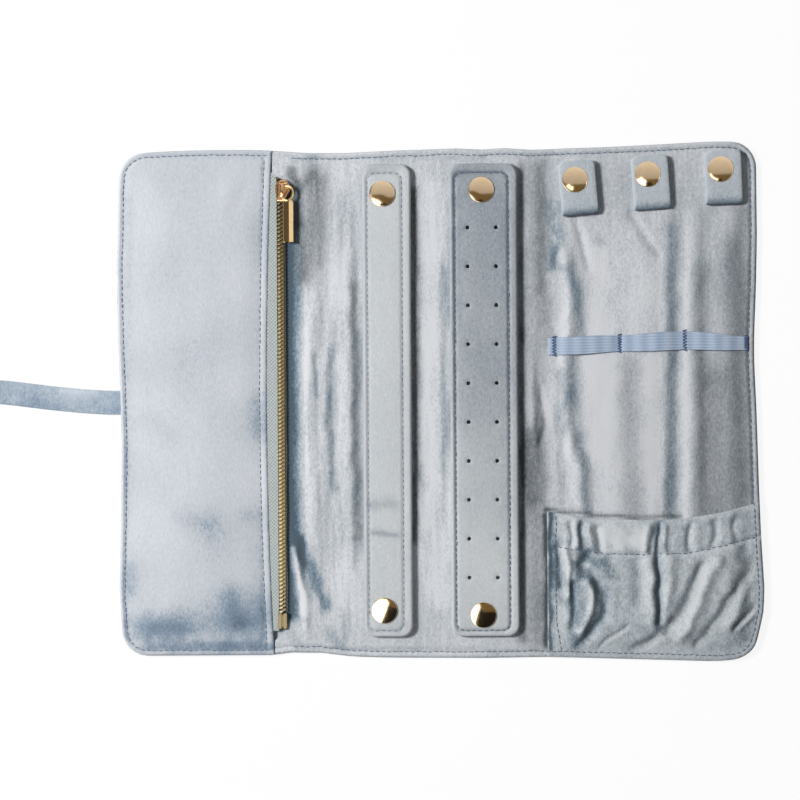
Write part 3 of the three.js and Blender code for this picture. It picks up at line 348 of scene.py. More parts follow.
def joined(parts):  # several (points, faces) as one
    points, faces, start = [], [], 0
    for p, f in parts:
        points.append(np.asarray(p, float).reshape(-1, 3))
        faces += [[int(v) + start for v in face] for face in f]
        start += len(points[-1])
    return np.concatenate(points), faces


def softBox(low, high, rounding=0.3, steps=6):  # a box with rounded edges: a superellipsoid
    low, high = np.asarray(low, float), np.asarray(high, float)
    a = np.linspace(-np.pi / 2, np.pi / 2, 2 * steps + 1)[:, None]
    b = np.linspace(-np.pi, np.pi, 4 * steps, endpoint=False)[None]
    flat = powered(np.cos(a), rounding)
    unit = placed(flat * powered(np.cos(b), rounding), flat * powered(np.sin(b), rounding),
                  powered(np.sin(a), rounding))
    points = (low + high) / 2 + unit * (high - low) / 2
    return points.reshape(-1, 3), quads(2 * steps + 1, 4 * steps, closeCols=True)


def surfaceUnder(*targets, above=0.05, bare=4.0):  # finds the slope and height of the topmost of some pieces
    depsgraph = bpy.context.evaluated_depsgraph_get()
    trees = [BVHTree.FromObject(target, depsgraph) for target in targets]

    def find(x, y):
        hits = [tree.ray_cast(Vector((x * mm, y * mm, above)), Vector((0, 0, -1))) for tree in trees]
        hits = [hit for hit in hits if hit[0]] or [(Vector((0, 0, bare * mm)), Vector((0, 0, 1)))]
        top = max(hits, key=lambda hit: hit[0].z)
        return (*top[1], top[0].z / mm)
    return find


stitchForm = {"pitch": 2.8, "share": 0.76, "sink": 0.02, "stray": 0.1, "tilt": 0.06, "sides": 6,
              "along": (-1, -0.7, 0, 0.7, 1), "girth": (0.35, 0.8, 1, 0.8, 0.35)}


def sewLine(name, lines, targets, thick=0.5):
    # stitches along lines on some pieces: spindles, a third as thick at both ends, laid on the surface
    dots = [resampled(line, stitchForm["pitch"]) for line in lines]
    middle = np.concatenate([(d[1:] + d[:-1]) / 2 for d in dots])
    ahead = np.concatenate([d[1:] - d[:-1] for d in dots])
    find = surfaceUnder(*targets)
    ground = np.array([find(*place) for place in middle])
    normal = ground[:, :3]
    centre = np.concatenate([middle, ground[:, 3:]], 1) + normal * (0.3 * thick - stitchForm["sink"])
    ahead = np.concatenate([ahead, np.zeros((len(ahead), 1))], 1)
    ahead -= normal * (ahead * normal).sum(1)[:, None]
    length = np.linalg.norm(ahead, axis=1)
    ahead /= length[:, None]
    side = np.cross(normal, ahead)
    centre = centre + side * dice.normal(0, stitchForm["stray"], len(side))[:, None]
    tilt = dice.normal(0, stitchForm["tilt"], len(ahead))[:, None]
    ahead, side = ahead + side * tilt, side - ahead * tilt
    along, girth = np.array(stitchForm["along"]), np.array(stitchForm["girth"]) * thick / 2
    rings, t = len(along), around(stitchForm["sides"])
    reach = length * stitchForm["share"] / 2 * dice.uniform(0.9, 1.06, len(length))
    spine = along[None, :, None, None] * reach[:, None, None, None] * ahead[:, None, None]
    ring = np.cos(t)[:, None] * side[:, None, None] + np.sin(t)[:, None] * normal[:, None, None]
    points = centre[:, None, None] + spine + girth[:, None, None] * ring
    one = tubeFaces(rings, len(t))
    faces = [[v + rings * len(t) * k for v in face] for k in range(len(centre)) for face in one]
    return makePiece(name, points.reshape(-1, 3), faces, threadBlue, "thread", merge=0)


def topNormals(mesh):  # at each point, the mean normal of its faces that look up, or of all if none does
    counts, corners = np.zeros(len(mesh.polygons), int), np.zeros(len(mesh.loops), int)
    faces = np.zeros(len(mesh.polygons) * 3, np.float32)
    mesh.polygons.foreach_get("loop_total", counts)
    mesh.polygons.foreach_get("normal", faces)
    mesh.loops.foreach_get("vertex_index", corners)
    faces = np.repeat(faces.reshape(-1, 3), counts, 0)
    total = np.zeros((len(mesh.vertices), 3))
    np.add.at(total, corners, faces * np.where(faces[:, 2:] > 0, 1, 1e-4))
    return total / np.maximum(np.linalg.norm(total, axis=1), 1e-12)[:, None]


nap = {"patch": 45, "longHair": (0.09, 4.0), "shortHair": (0.15, 1.8), "ragged": 9, "raggedBy": 0.35,
       "corner": 2.5}


def brush(piece, strokes=(), slope=1.5, toTop=0.3, base=0.0, patch=0.0, streak=0.0, seed=1,
          more=None, sway=0.0, greyShades=(), greyShadeSlope=0.0):
    # nap value: above 0 it looks pale, below 0 blue; it holds the nap's lean and painted light and shade,
    # faces turned away from the key light on the left painted bluer
    # shade value: 1 is flat grey; painted shade on faces turned away from the light and along drawn lines
    mesh = piece.data
    x, y = placesOf(mesh)[:, :2].T
    normals = topNormals(mesh)
    # painted light and shade: faces turned right, away from the key light, are painted bluer, faces turned up
    # the picture paler
    pileAndShading = base - slope * normals[:, 0] + toTop * slope * normals[:, 1]
    if more:
        pileAndShading = pileAndShading + more(x, y)
    if patch:
        pileAndShading = pileAndShading + patch * wander(x, y, nap["patch"], seed)
    if streak:
        (longBy, longSize), (shortBy, shortSize) = nap["longHair"], nap["shortHair"]
        hairs = wander(x, y * longBy, longSize, seed + 2) + wander(x, y * shortBy, shortSize, seed + 3)
        pileAndShading = pileAndShading + streak * hairs
    sx, sy = swayed(x, y, sway, seed + 7)
    for line, width, amount in strokes:
        ragged = 1 + nap["raggedBy"] * min(1, 3 / width) * wander(x, y, nap["ragged"], seed + 5)
        pileAndShading = pileAndShading + amount * stroke(sx, sy, eased(line, 1, nap["corner"]), width * ragged)
    # painted shade: faces turned right, away from the light, and the drawn shade lines go towards flat grey
    shade = greyShadeSlope * np.maximum(normals[:, 0], 0)
    for line, width, amount in greyShades:
        shade = shade + amount * stroke(sx, sy, eased(line, 1, nap["corner"]), width)
    for name, values in (("pileAndShading", pileAndShading), ("shade", shade)):
        layer = mesh.attributes.new(name, "FLOAT", "POINT")
        layer.data.foreach_set("value", values.astype(np.float32))


def puff(piece, held, pressure, cap, frames=20):
    # swells a padded piece: cloth held at its seams and pressed from inside; no point moves past cap
    mesh = piece.data
    rest = placesOf(mesh)
    sewn = piece.vertex_groups.new(name="sewn")
    sewn.add(np.flatnonzero(held).tolist(), 1.0, "REPLACE")
    cloth = piece.modifiers.new("puff", "CLOTH")
    settings = cloth.settings
    settings.quality = 5
    settings.mass = 0.1
    settings.vertex_group_mass = "sewn"
    settings.use_pressure = True
    settings.uniform_pressure_force = pressure
    settings.effector_weights.gravity = 0
    cloth.collision_settings.use_collision = False
    for frameNumber in range(1, frames + 1):
        scene.frame_set(frameNumber)
    swollen = piece.evaluated_get(bpy.context.evaluated_depsgraph_get())
    moved = placesOf(swollen.data) - rest
    piece.modifiers.remove(cloth)
    piece.vertex_groups.remove(sewn)
    scene.frame_set(1)
    far = np.linalg.norm(moved, axis=1)[:, None]
    moved *= np.minimum(1, cap / np.maximum(far, 1e-6))
    setPlaces(mesh, rest + moved)
    print("puffed", piece.name, "by up to", round(float(far.max()), 2), "mm")


# colours and node helpers
def tone(code):  # "#rrggbb" to linear red, green, blue and 1
    parts = np.array([int(code[k:k + 2], 16) / 255 for k in (1, 3, 5)])
    linear = np.where(parts <= 0.04045, parts / 12.92, ((parts + 0.055) / 1.055) ** 2.4)
    return (*map(float, linear), 1.0)


def addNode(tree, kind, **values):  # a node with its settings; names that are sockets set the sockets
    node = tree.nodes.new(kind)
    for name, value in values.items():
        if hasattr(node, name):
            setattr(node, name, value)
        else:
            node.inputs[name.replace("_", " ")].default_value = value
    return node


def newGroup(name, inputs, outputs):  # sockets are given as label and kind: colour, float or vector
    tree = bpy.data.node_groups.new(name, "ShaderNodeTree")
    kinds = {"c": "NodeSocketColor", "f": "NodeSocketFloat", "v": "NodeSocketVector"}
    for way, sockets in (("INPUT", inputs), ("OUTPUT", outputs)):
        for label, kind in sockets.items():
            tree.interface.new_socket(label, in_out=way, socket_type=kinds[kind])
    return tree, addNode(tree, "NodeGroupInput").outputs, addNode(tree, "NodeGroupOutput").inputs


def fill(tree, socket, value):  # a number or colour is set, an output is linked
    if isinstance(value, (int, float, tuple)):
        socket.default_value = value
    else:
        tree.links.new(value, socket)


def mathNode(tree, operation, a, b=0.0, clamp=False):
    node = addNode(tree, "ShaderNodeMath", operation=operation, use_clamp=clamp)
    for socket, value in zip(node.inputs, (a, b)):
        fill(tree, socket, value)
    return node.outputs[0]


def times(tree, a, b, clamp=False):
    return mathNode(tree, "MULTIPLY", a, b, clamp)


def plus(tree, a, b, clamp=False):
    return mathNode(tree, "ADD", a, b, clamp)


def centred(tree, value, middle, gain, clamp=False):  # (value - middle) * gain
    return times(tree, mathNode(tree, "SUBTRACT", value, middle), gain, clamp)


def mixColour(tree, factor, a, b):
    node = addNode(tree, "ShaderNodeMix", data_type="RGBA")
    for socket, value in ((node.inputs[0], factor), (node.inputs[6], a), (node.inputs[7], b)):
        fill(tree, socket, value)
    return node.outputs[2]


def objectPlace(tree):
    return addNode(tree, "ShaderNodeTexCoord").outputs["Object"]


def axesOf(tree, place):  # x, y and z of a place
    parts = addNode(tree, "ShaderNodeSeparateXYZ")
    tree.links.new(place, parts.inputs[0])
    return parts.outputs


def noiseNode(tree, place, stretch, scale, detail=2.0, rough=0.5, warp=0.0):
    mapping = addNode(tree, "ShaderNodeMapping")
    mapping.inputs["Scale"].default_value = stretch
    tree.links.new(place, mapping.inputs["Vector"])
    noise = addNode(tree, "ShaderNodeTexNoise", Scale=scale, Detail=detail, Roughness=rough, Distortion=warp)
    tree.links.new(mapping.outputs[0], noise.inputs["Vector"])
    return noise.outputs["Fac"]


flatGrey, gapShadeBrown = tone("#4e5559"), tone("#5d5236")  # painted shade: for cloth that lies in shade, and for the gaps between metal teeth


def pileAndShadingGroup():
    # velvet nap: its lean (a value on the mesh that also holds painted light and shade, patches and single
    # tufts) picks pale, mid, blue or deep, and the shade value mixes in painted flat grey shade
    tree, given, made = newGroup(
        "velvetPileAndShading",
        dict(Pale="c", Mid="c", Blue="c", Deep="c", LeanAndShading="f", Shade="f", Patches="f", Fibres="f"),
        dict(Color="c", Height="f", Roughness="f"))
    place = objectPlace(tree)
    patch = centred(tree, noiseNode(tree, place, (1, 0.7, 1), 26.0, 3.0, 0.55, 0.5), 0.5, 3.2)
    finger = centred(tree, noiseNode(tree, place, (1, 0.45, 1), 110.0, 2.0, 0.6, 0.8), 0.5, 1.5)
    fibre = noiseNode(tree, place, (1, 0.35, 1), 1500.0, 2.0, 0.7, 0.4)
    tuft = noiseNode(tree, place, (1, 0.7, 1), 950.0, 2.0, 0.6, 0.6)
    brushed = times(tree, plus(tree, patch, finger), given["Patches"])
    hairs = plus(tree, centred(tree, fibre, 0.5, 1.7), centred(tree, tuft, 0.5, 1.7))
    hairs = times(tree, hairs, given["Fibres"])
    lean = plus(tree, plus(tree, given["LeanAndShading"], brushed), hairs)
    pale = times(tree, lean, 1.0, clamp=True)
    blue = times(tree, lean, -1.0, clamp=True)
    deep = mathNode(tree, "SUBTRACT", -1.0, lean, clamp=True)
    colour = mixColour(tree, pale, given["Mid"], given["Pale"])
    colour = mixColour(tree, blue, colour, given["Blue"])
    colour = mixColour(tree, deep, colour, given["Deep"])
    speckle = times(tree, times(tree, hairs, -0.25), given["Shade"])
    colour = mixColour(tree, plus(tree, given["Shade"], speckle, clamp=True), colour, flatGrey)
    tree.links.new(colour, made["Color"])
    tree.links.new(plus(tree, fibre, times(tree, tuft, 0.8)), made["Height"])
    tree.links.new(mathNode(tree, "SUBTRACT", 0.92, times(tree, pale, 0.14)), made["Roughness"])
    return tree


def scuffAndGapShadeGroup():
    # metal: soft cloudiness and fine scratches in the roughness, and a little unevenness in the colour
    # below a given height the gaps are painted dark: painted shade between the teeth
    tree, given, made = newGroup("metalScuffAndGapShade", dict(Bright="c", Deep="c", Polish="f", Scale="f", Floor="f"),
                                 dict(Color="c", Roughness="f", Height="f"))
    place = objectPlace(tree)
    scaled = addNode(tree, "ShaderNodeVectorMath", operation="SCALE")
    tree.links.new(place, scaled.inputs[0])
    tree.links.new(given["Scale"], scaled.inputs["Scale"])
    cloud = noiseNode(tree, scaled.outputs[0], (1, 1, 1), 1.0, 3.0, 0.6, 0.3)
    scratch = noiseNode(tree, scaled.outputs[0], (9, 0.8, 4), 3.0, 2.0, 0.7, 0.2)
    # painted shade: 0 below the given height, 1 above it
    above = centred(tree, axesOf(tree, place)[2], given["Floor"], 1400.0, clamp=True)
    colour = mixColour(tree, cloud, given["Deep"], given["Bright"])
    tree.links.new(mixColour(tree, above, gapShadeBrown, colour), made["Color"])
    rough = plus(tree, given["Polish"], centred(tree, scratch, 0.45, 0.16))
    tree.links.new(mathNode(tree, "MAXIMUM", rough, 0.04), made["Roughness"])
    tree.links.new(scratch, made["Height"])
    return tree


def weaveGroup():
    # narrow woven goods: warp ribs along one way, weft ticks across, as two crossed waves
    tree, given, made = newGroup("narrowWeave", dict(Light="c", Dark="c", Turn="v", Ribs="f", Ticks="f"),
                                 dict(Color="c", Height="f"))
    place = objectPlace(tree)
    turned = addNode(tree, "ShaderNodeMapping")
    tree.links.new(place, turned.inputs["Vector"])
    tree.links.new(given["Turn"], turned.inputs["Rotation"])
    across, along, _ = axesOf(tree, turned.outputs[0])
    ribs = mathNode(tree, "SINE", times(tree, across, given["Ribs"]))
    ticks = mathNode(tree, "SINE", times(tree, along, given["Ticks"]))
    height = plus(tree, plus(tree, times(tree, ribs, 0.35), times(tree, ticks, 0.25)), 0.3)
    uneven = noiseNode(tree, place, (1, 1, 1), 700.0, 2.0, 0.6)
    height = plus(tree, height, times(tree, uneven, 0.5), clamp=True)
    tree.links.new(mixColour(tree, height, given["Dark"], given["Light"]), made["Color"])
    tree.links.new(height, made["Height"])
    return tree


groups = {"pileAndShading": pileAndShadingGroup(), "scuffAndGapShade": scuffAndGapShadeGroup(), "weave": weaveGroup()}


def newMaterial(name, groupName, values, depth, strength, **shaderValues):
    material = bpy.data.materials.new(name)
    material.use_nodes = True
    tree = material.node_tree
    shader = tree.nodes["Principled BSDF"]
    group = addNode(tree, "ShaderNodeGroup", node_tree=groups[groupName], name="finish")
    for label, value in values.items():
        group.inputs[label].default_value = value
    for label in ("Color", "Roughness"):
        if label in group.outputs:
            tree.links.new(group.outputs[label], shader.inputs["Base Color" if label == "Color" else label])
    bump = addNode(tree, "ShaderNodeBump", Strength=strength, Distance=depth)
    tree.links.new(group.outputs["Height"], bump.inputs["Height"])
    tree.links.new(bump.outputs[0], shader.inputs["Normal"])
    for label, value in shaderValues.items():
        shader.inputs[label.replace("_", " ")].default_value = value
    return material


def velvet(name, pale, mid, blue, deep, patches, fibres):
    values = {"Pale": tone(pale), "Mid": tone(mid), "Blue": tone(blue), "Deep": tone(deep),
              "Patches": patches, "Fibres": fibres}
    material = newMaterial(name, "pileAndShading", values, 0.0005, 0.3, Sheen_Weight=0.22, Sheen_Roughness=0.35,
                           Sheen_Tint=(0.9, 0.94, 1.0, 1.0), Specular_IOR_Level=0.12)
    tree = material.node_tree
    for label, layer in (("LeanAndShading", "pileAndShading"), ("Shade", "shade")):
        value = addNode(tree, "ShaderNodeAttribute", attribute_name=layer)
        tree.links.new(value.outputs["Fac"], tree.nodes["finish"].inputs[label])
    return material


def metal(name, bright, deep, polish, scale, floor=-1.0):
    values = {"Bright": tone(bright), "Deep": tone(deep), "Polish": polish, "Scale": scale, "Floor": floor}
    return newMaterial(name, "scuffAndGapShade", values, 0.00003, 0.12, Metallic=1.0)


def woven(name, light, dark, turn, ribs, ticks, strength=0.5):
    values = {"Light": tone(light), "Dark": tone(dark), "Turn": (0, 0, turn), "Ribs": ribs, "Ticks": ticks}
    return newMaterial(name, "weave", values, 0.0002, strength, Roughness=0.85, Sheen_Weight=0.1,
                       Specular_IOR_Level=0.2)


velvets = {  # colours for nap that leans to the light, lies plain, leans away, leans far away, which also stand in for painted light and shade; how patchy, how hairy
    "flap": ("#cbcfd5", "#babfc6", "#8998a8", "#617386", 0.22, 0.9),
    "lining": ("#d3d5d9", "#b1b7bd", "#7d8d9a", "#4b5b67", 0.16, 1.05),
    "bar": ("#ccd0d3", "#b4b9bd", "#878f98", "#606a74", 0.08, 0.6),
    "tab": ("#c6ccd2", "#b0b8bf", "#7a8893", "#4d5a66", 0.10, 0.9),
    "pocket": ("#d0d4d7", "#a9b1b7", "#6e7e8a", "#47555f", 0.10, 1.05),
    "shell": ("#c9ced5", "#b3bac2", "#7f8f9e", "#566573", 0.30, 0.9),
    "tie": ("#bdc6d0", "#9eaab6", "#687f98", "#4b6078", 0.50, 0.9)}
cloths = {kind: velvet(kind + "Velvet", *values) for kind, values in velvets.items()}
threadBlue = woven("slateThread", "#75808f", "#4f5a6c", 0.6, 9000.0, 6000.0, 0.3)
tackBlue = woven("tackThread", "#66769a", "#3f4d70", 0.6, 9000.0, 6000.0, 0.3)
tapeCloth = woven("zipTapeWeave", "#bcc3c2", "#8f9998", 0.75, 5200.0, 5200.0)
elasticCloth = woven("elasticWeave", "#b5c3d5", "#93a5bd", 0, 900.0, 4700.0, 0.35)
toothGap = 0.00515  # height below which the gaps between the teeth are painted in shade
brass = metal("zipBrass", "#9e957e", "#7b7058", 0.36, 1500.0, toothGap)
# a darker copy of the brass, painted shade: for the right row of teeth and the bottom stop
shadeBrass = metal("zipBrassShaded", "#7a715c", "#5b523c", 0.42, 1500.0, toothGap)
pullGold = metal("pullGold", "#f3dcb2", "#dfbf8a", 0.14, 700.0)
sliderGold = metal("sliderGold", "#e3c09c", "#c0936a", 0.18, 700.0)
capGold = metal("capGold", "#eed9bb", "#e0c6a0", 0.16, 300.0)
steel = metal("snapSteel", "#d9bf8f", "#b4935c", 0.22, 900.0)
print("materials made")

# camera: at the height and tilt that set the roll in its frame, 800 by 800
lensView = {"aim": (-0.01859, 0.0014, 0.005), "turn": (-0.023, 0.571, -0.342), "distance": 1.0,
            "focus": 2129.1, "sensor": 36, "pixels": 800}
cameraData = bpy.data.cameras.new("camera")
camera = bpy.data.objects.new("camera", cameraData)
scene.collection.objects.link(camera)
scene.camera = camera
tiltX, tiltY, tiltZ = (Matrix.Rotation(np.radians(a), 4, axis) for a, axis in zip(lensView["turn"], "XYZ"))
facing = tiltZ @ tiltY @ tiltX
stand = Vector(lensView["aim"]) + facing @ Vector((0, 0, lensView["distance"]))
camera.matrix_world = Matrix.Translation(stand) @ facing
cameraData.sensor_width = lensView["sensor"]
cameraData.lens = lensView["sensor"] * lensView["focus"] / lensView["pixels"]
cameraData.clip_start, cameraData.clip_end = 0.01, 20

# white floor, soft key light from the left, and cards that only the metal mirrors
studio = {"key": 13.8, "keyFrom": (-0.55, 0.15, 0.8), "keyReach": 1.2, "keySize": 0.22, "room": 0.20,
          "floorGlow": 0.89, "floorZ": -0.0002, "overheadZ": 1.3}


def seenDirectly(tree):  # 1 for camera, mirror and see-through rays
    rays = addNode(tree, "ShaderNodeLightPath")
    seen = plus(tree, rays.outputs["Is Camera Ray"], rays.outputs["Is Glossy Ray"])
    return plus(tree, seen, rays.outputs["Is Transmission Ray"], clamp=True)


def bareMaterial(name):  # a material with nothing in it but its output
    material = bpy.data.materials.new(name)
    material.use_nodes = True
    material.node_tree.nodes.clear()
    return material, material.node_tree, addNode(material.node_tree, "ShaderNodeOutputMaterial")


def floorMaterial():
    material, tree, out = bareMaterial("whiteFloor")
    mix = addNode(tree, "ShaderNodeMixShader")
    paint = addNode(tree, "ShaderNodeBsdfDiffuse", Color=(0.97, 0.97, 0.97, 1))
    glow = addNode(tree, "ShaderNodeEmission", Color=(1, 1, 1, 1), Strength=1.0)
    tree.links.new(times(tree, seenDirectly(tree), studio["floorGlow"]), mix.inputs[0])
    tree.links.new(paint.outputs[0], mix.inputs[1])
    tree.links.new(glow.outputs[0], mix.inputs[2])
    tree.links.new(mix.outputs[0], out.inputs[0])
    return material


def cardMaterial(name, near, far, colour):  # glow that runs from near to far over 2 m upwards in the picture
    material, tree, out = bareMaterial(name)
    glow = addNode(tree, "ShaderNodeEmission", Color=(*colour, 1))
    share = times(tree, plus(tree, axesOf(tree, objectPlace(tree))[1], 0.5), 0.5, clamp=True)
    tree.links.new(plus(tree, times(tree, share, far - near), near), glow.inputs["Strength"])
    tree.links.new(glow.outputs[0], out.inputs[0])
    return material


def stageSheet(name, corners, z, material, mirrorOnly=True):
    mesh = bpy.data.meshes.new(name)
    mesh.from_pydata([(x, y, z) for x, y in corners], [], [tuple(range(len(corners)))])
    mesh.materials.append(material)
    sheet = bpy.data.objects.new(name, mesh)
    scene.collection.objects.link(sheet)
    if mirrorOnly:
        sheet.visible_camera = sheet.visible_diffuse = sheet.visible_shadow = False
        sheet.visible_transmission = sheet.visible_volume_scatter = False


def square(half):
    return [(-half, -half), (half, -half), (half, half), (-half, half)]


world = bpy.data.worlds.new("paleRoom")
scene.world = world
world.use_nodes = True
sky = world.node_tree.nodes["Background"]
sky.inputs["Color"].default_value = (1, 1, 1, 1)
level = times(world.node_tree, seenDirectly(world.node_tree), 1 - studio["room"])
world.node_tree.links.new(plus(world.node_tree, level, studio["room"]), sky.inputs["Strength"])
lamp = bpy.data.lights.new("key", "AREA")
lamp.energy, lamp.size = studio["key"], studio["keySize"]
key = bpy.data.objects.new("key", lamp)
scene.collection.objects.link(key)
keyWay = Vector(studio["keyFrom"]).normalized()
keyFacing = keyWay.to_track_quat("Z", "Y").to_matrix().to_4x4()
key.matrix_world = Matrix.Translation(keyWay * studio["keyReach"]) @ keyFacing
key.visible_glossy = False
stageSheet("floor", square(4), studio["floorZ"], floorMaterial(), mirrorOnly=False)
overheadGlow = cardMaterial("overheadGlow", 0.42, 0.9, (1, 0.95, 0.9))
stageSheet("overheadCard", square(3), studio["overheadZ"], overheadGlow)
cards = {  # glow, colour, height, corners: what the polished caps and the zip mirror
    "tanCard": (1.0, (0.17, 0.12, 0.055), 0.101,
                [(-0.3, -0.09), (0.3, -0.09), (0.3, 0.085), (0.02, 0.08), (-0.03, 0.1), (-0.3, 0.1)]),
    "brightCard": (3.2, (1, 0.96, 0.9), 0.1, [(-0.7, -0.02), (-0.7, -0.7), (-0.2, -0.7), (-0.054, -0.207),
                                              (0.001, -0.055), (-0.012, -0.022)]),
    "upperCard": (3.0, (1, 0.95, 0.88), 0.1,
                  [(-0.12, 0.085), (-0.12, -0.02), (-0.06, 0.0), (-0.025, 0.035), (-0.05, 0.062)]),
    "pullCard": (1.0, (1, 0.95, 0.86), 0.03,
                 [(-0.062, 0.068), (-0.047, 0.068), (-0.047, 0.1), (-0.062, 0.1)]),
    "darkCard": (0.005, (1, 0.8, 0.65), 0.1, [(0.001, -0.055), (-0.054, -0.207), (-0.2, -0.7), (0.7, -0.7),
                                              (0.7, -0.087), (0.02, -0.087)]),
    "notchCard": (0.005, (1, 0.8, 0.65), 0.1,
                  [(-0.02, 0.022), (-0.02, -0.015), (0.04, -0.015), (0.035, 0.02)]),
    "sideCard": (0.10, (1, 0.85, 0.6), 0.1, [(-0.4, 0.3), (-0.4, 0.06), (-0.118, 0.06), (-0.118, 0.3)])}
capCards = {  # small cards close over single caps: node, glow, from and to angle, near and far distance
    "tabLight1": ("necklace_tab_1_cap", 2.2, (213, 262), (0.0072, 0.0125)),
    "tabLight2": ("necklace_tab_2_cap", 3.2, (203, 263), (0.0062, 0.016)),
    "tabLight3": ("necklace_tab_3_cap", 2.5, (203, 262), (0.0108, 0.016)),
    "tabSpot2": ("necklace_tab_2_cap", 0.02, (264, 300), (0.009, 0.017)),
    "tabSpot3": ("necklace_tab_3_cap", 0.02, (263, 284), (0.0105, 0.017)),
    "ringSpot": ("ring_snap_cap", 0.02, (258, 290), (0.0102, 0.017)),
    "earringSpot": ("earring_snap_cap", 0.02, (256, 280), (0.0106, 0.017))}
capLight = {"z": 0.02, "white": (1, 0.96, 0.9), "dark": (1, 0.7, 0.5), "steps": 9}
for name, (node, glow, angles, (nearBy, farBy)) in capCards.items():
    capX, capY = (np.array(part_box(node)[0][:2]) + np.array(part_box(node)[1][:2])) / 2
    turn = np.radians(np.linspace(*angles, capLight["steps"]))
    turn = np.concatenate([turn, turn[::-1]])
    away = np.repeat([nearBy, farBy], capLight["steps"])
    corners = placed(capX + away * np.cos(turn), capY + away * np.sin(turn)).tolist()
    cards[name + "Card"] = (glow, capLight["white" if glow > 1 else "dark"], capLight["z"], corners)
for name, (glow, colour, z, corners) in cards.items():
    stageSheet(name, corners, z, cardMaterial(name[:-4] + "Glow", glow, glow, colour))
scene.view_settings.view_transform = "Standard"
print("camera and studio made")

# tie strap: out of the left edge along the floor, then folded to and fro in a hank inside a keeper
tie = {"width": 11.3, "thick": 1.8, "length": 0.45, "hankY": 6.5, "near": -218.7, "far": -310.7, "rest": 2.05,
       "lift": 2.4, "runs": 4, "runPoints": 16, "bendPoints": 13,
       "lead": [(-147, 0.9, 2), (-150, 0.9, 2), (-154, 0.9, 1.8), (-159, 1.1, 1.2), (-164, 1.4, 0.95),
                (-171, 2, 0.95), (-178, 2.7, 0.95), (-185, 3.5, 0.95), (-192, 4.4, 0.95), (-199, 5.3, 0.95),
                (-205, 6, 1.1), (-210, 6.4, 1.6), (-213, 6.5, 2.05), (-216.3, 6.5, 2.05)]}
keeper = {"x": -262.3, "width": 8.0, "thick": 0.8, "halfY": 6.35, "low": 0.45, "high": 10.85, "square": 0.35}


def hankPath():  # straight runs joined by half circles, each run one lift higher
    path = [np.array(tie["lead"], float)]
    turn = np.linspace(-np.pi / 2, np.pi / 2, tie["bendPoints"])
    for run in range(tie["runs"]):
        z, outward = tie["rest"] + run * tie["lift"], run % 2 == 0
        ends = (tie["near"], tie["far"]) if outward else (tie["far"], tie["near"])
        x = np.linspace(*ends, tie["runPoints"])[1 if run else 2:]
        path.append(placed(x, tie["hankY"], z))
        if run < tie["runs"] - 1:
            sign, radius = (-1 if outward else 1), tie["lift"] / 2
            rise = z + radius + radius * np.sin(turn)
            bend = placed(ends[1] + sign * radius * np.cos(turn), tie["hankY"], rise)
            path.append(bend[1:-1])
    return np.concatenate(path)


def keeperBand():  # a loop round the hank: a squared circle
    turn = around(64)
    midZ, halfZ = (keeper["low"] + keeper["high"]) / 2, (keeper["high"] - keeper["low"]) / 2
    y = tie["hankY"] + keeper["halfY"] * powered(np.cos(turn), keeper["square"])
    z = midZ + halfZ * powered(np.sin(turn), keeper["square"])
    section = strapSection(keeper["width"], keeper["thick"], 5)
    return sweepStrap(placed(keeper["x"], y, z), (1, 0, 0), section, loop=True)


tiePath = hankPath()
strap = sweepStrap(resampled(tiePath, 0.9), (0, 1, 0), strapSection(tie["width"], tie["thick"], 7))
tieStrap = makePiece("tieStrap", *strap, cloths["tie"], "velvet")
# painted shade along the strap's lower edge, painted highlight along its upper side
brush(tieStrap, [([(-151.2, -1.6), (-190.3, 1.5)], 1.3, -0.9), ([(-162, 6), (-178.5, 6.6)], 1.2, 0.5)],
      slope=0.6, patch=0.5, seed=3)
tieKeeper = makePiece("tieKeeper", *keeperBand(), cloths["tie"], "velvet")
brush(tieKeeper, base=0.1, slope=0.6)
carried(tieStrap, "left_flap", "tie_strap", "tie_hank")
carried(tieKeeper, "left_flap", "tie_keeper")
print("tie strap made")

# padded panels: outer velvet round a thin pad, lower in the two folds; each half bends at its own fold
panelPad = {"rim": 2.0, "bed": 3.3, "flapBed": 4.1, "fold": 2.1, "rimRadius": 2.0, "lip": 1.6,
            "step": (-84, -79)}
edgeFine = np.array([0, 0.08, 0.3, 0.7, 1.2, 1.8, 2.6, 4, 6, 8.5, 12])  # close rows that round an edge


def foldDip(x, soft=2.0):  # 1 in the folds, 0 on the panels
    dip = 0
    for a, b in ((roll["leftFold"], roll["middle"]), (roll["rightFold"], roll["rightPanel"])):
        dip = dip + smooth(a - soft, a + 1, x) * (1 - smooth(b - 1, b + soft, x))
    return dip


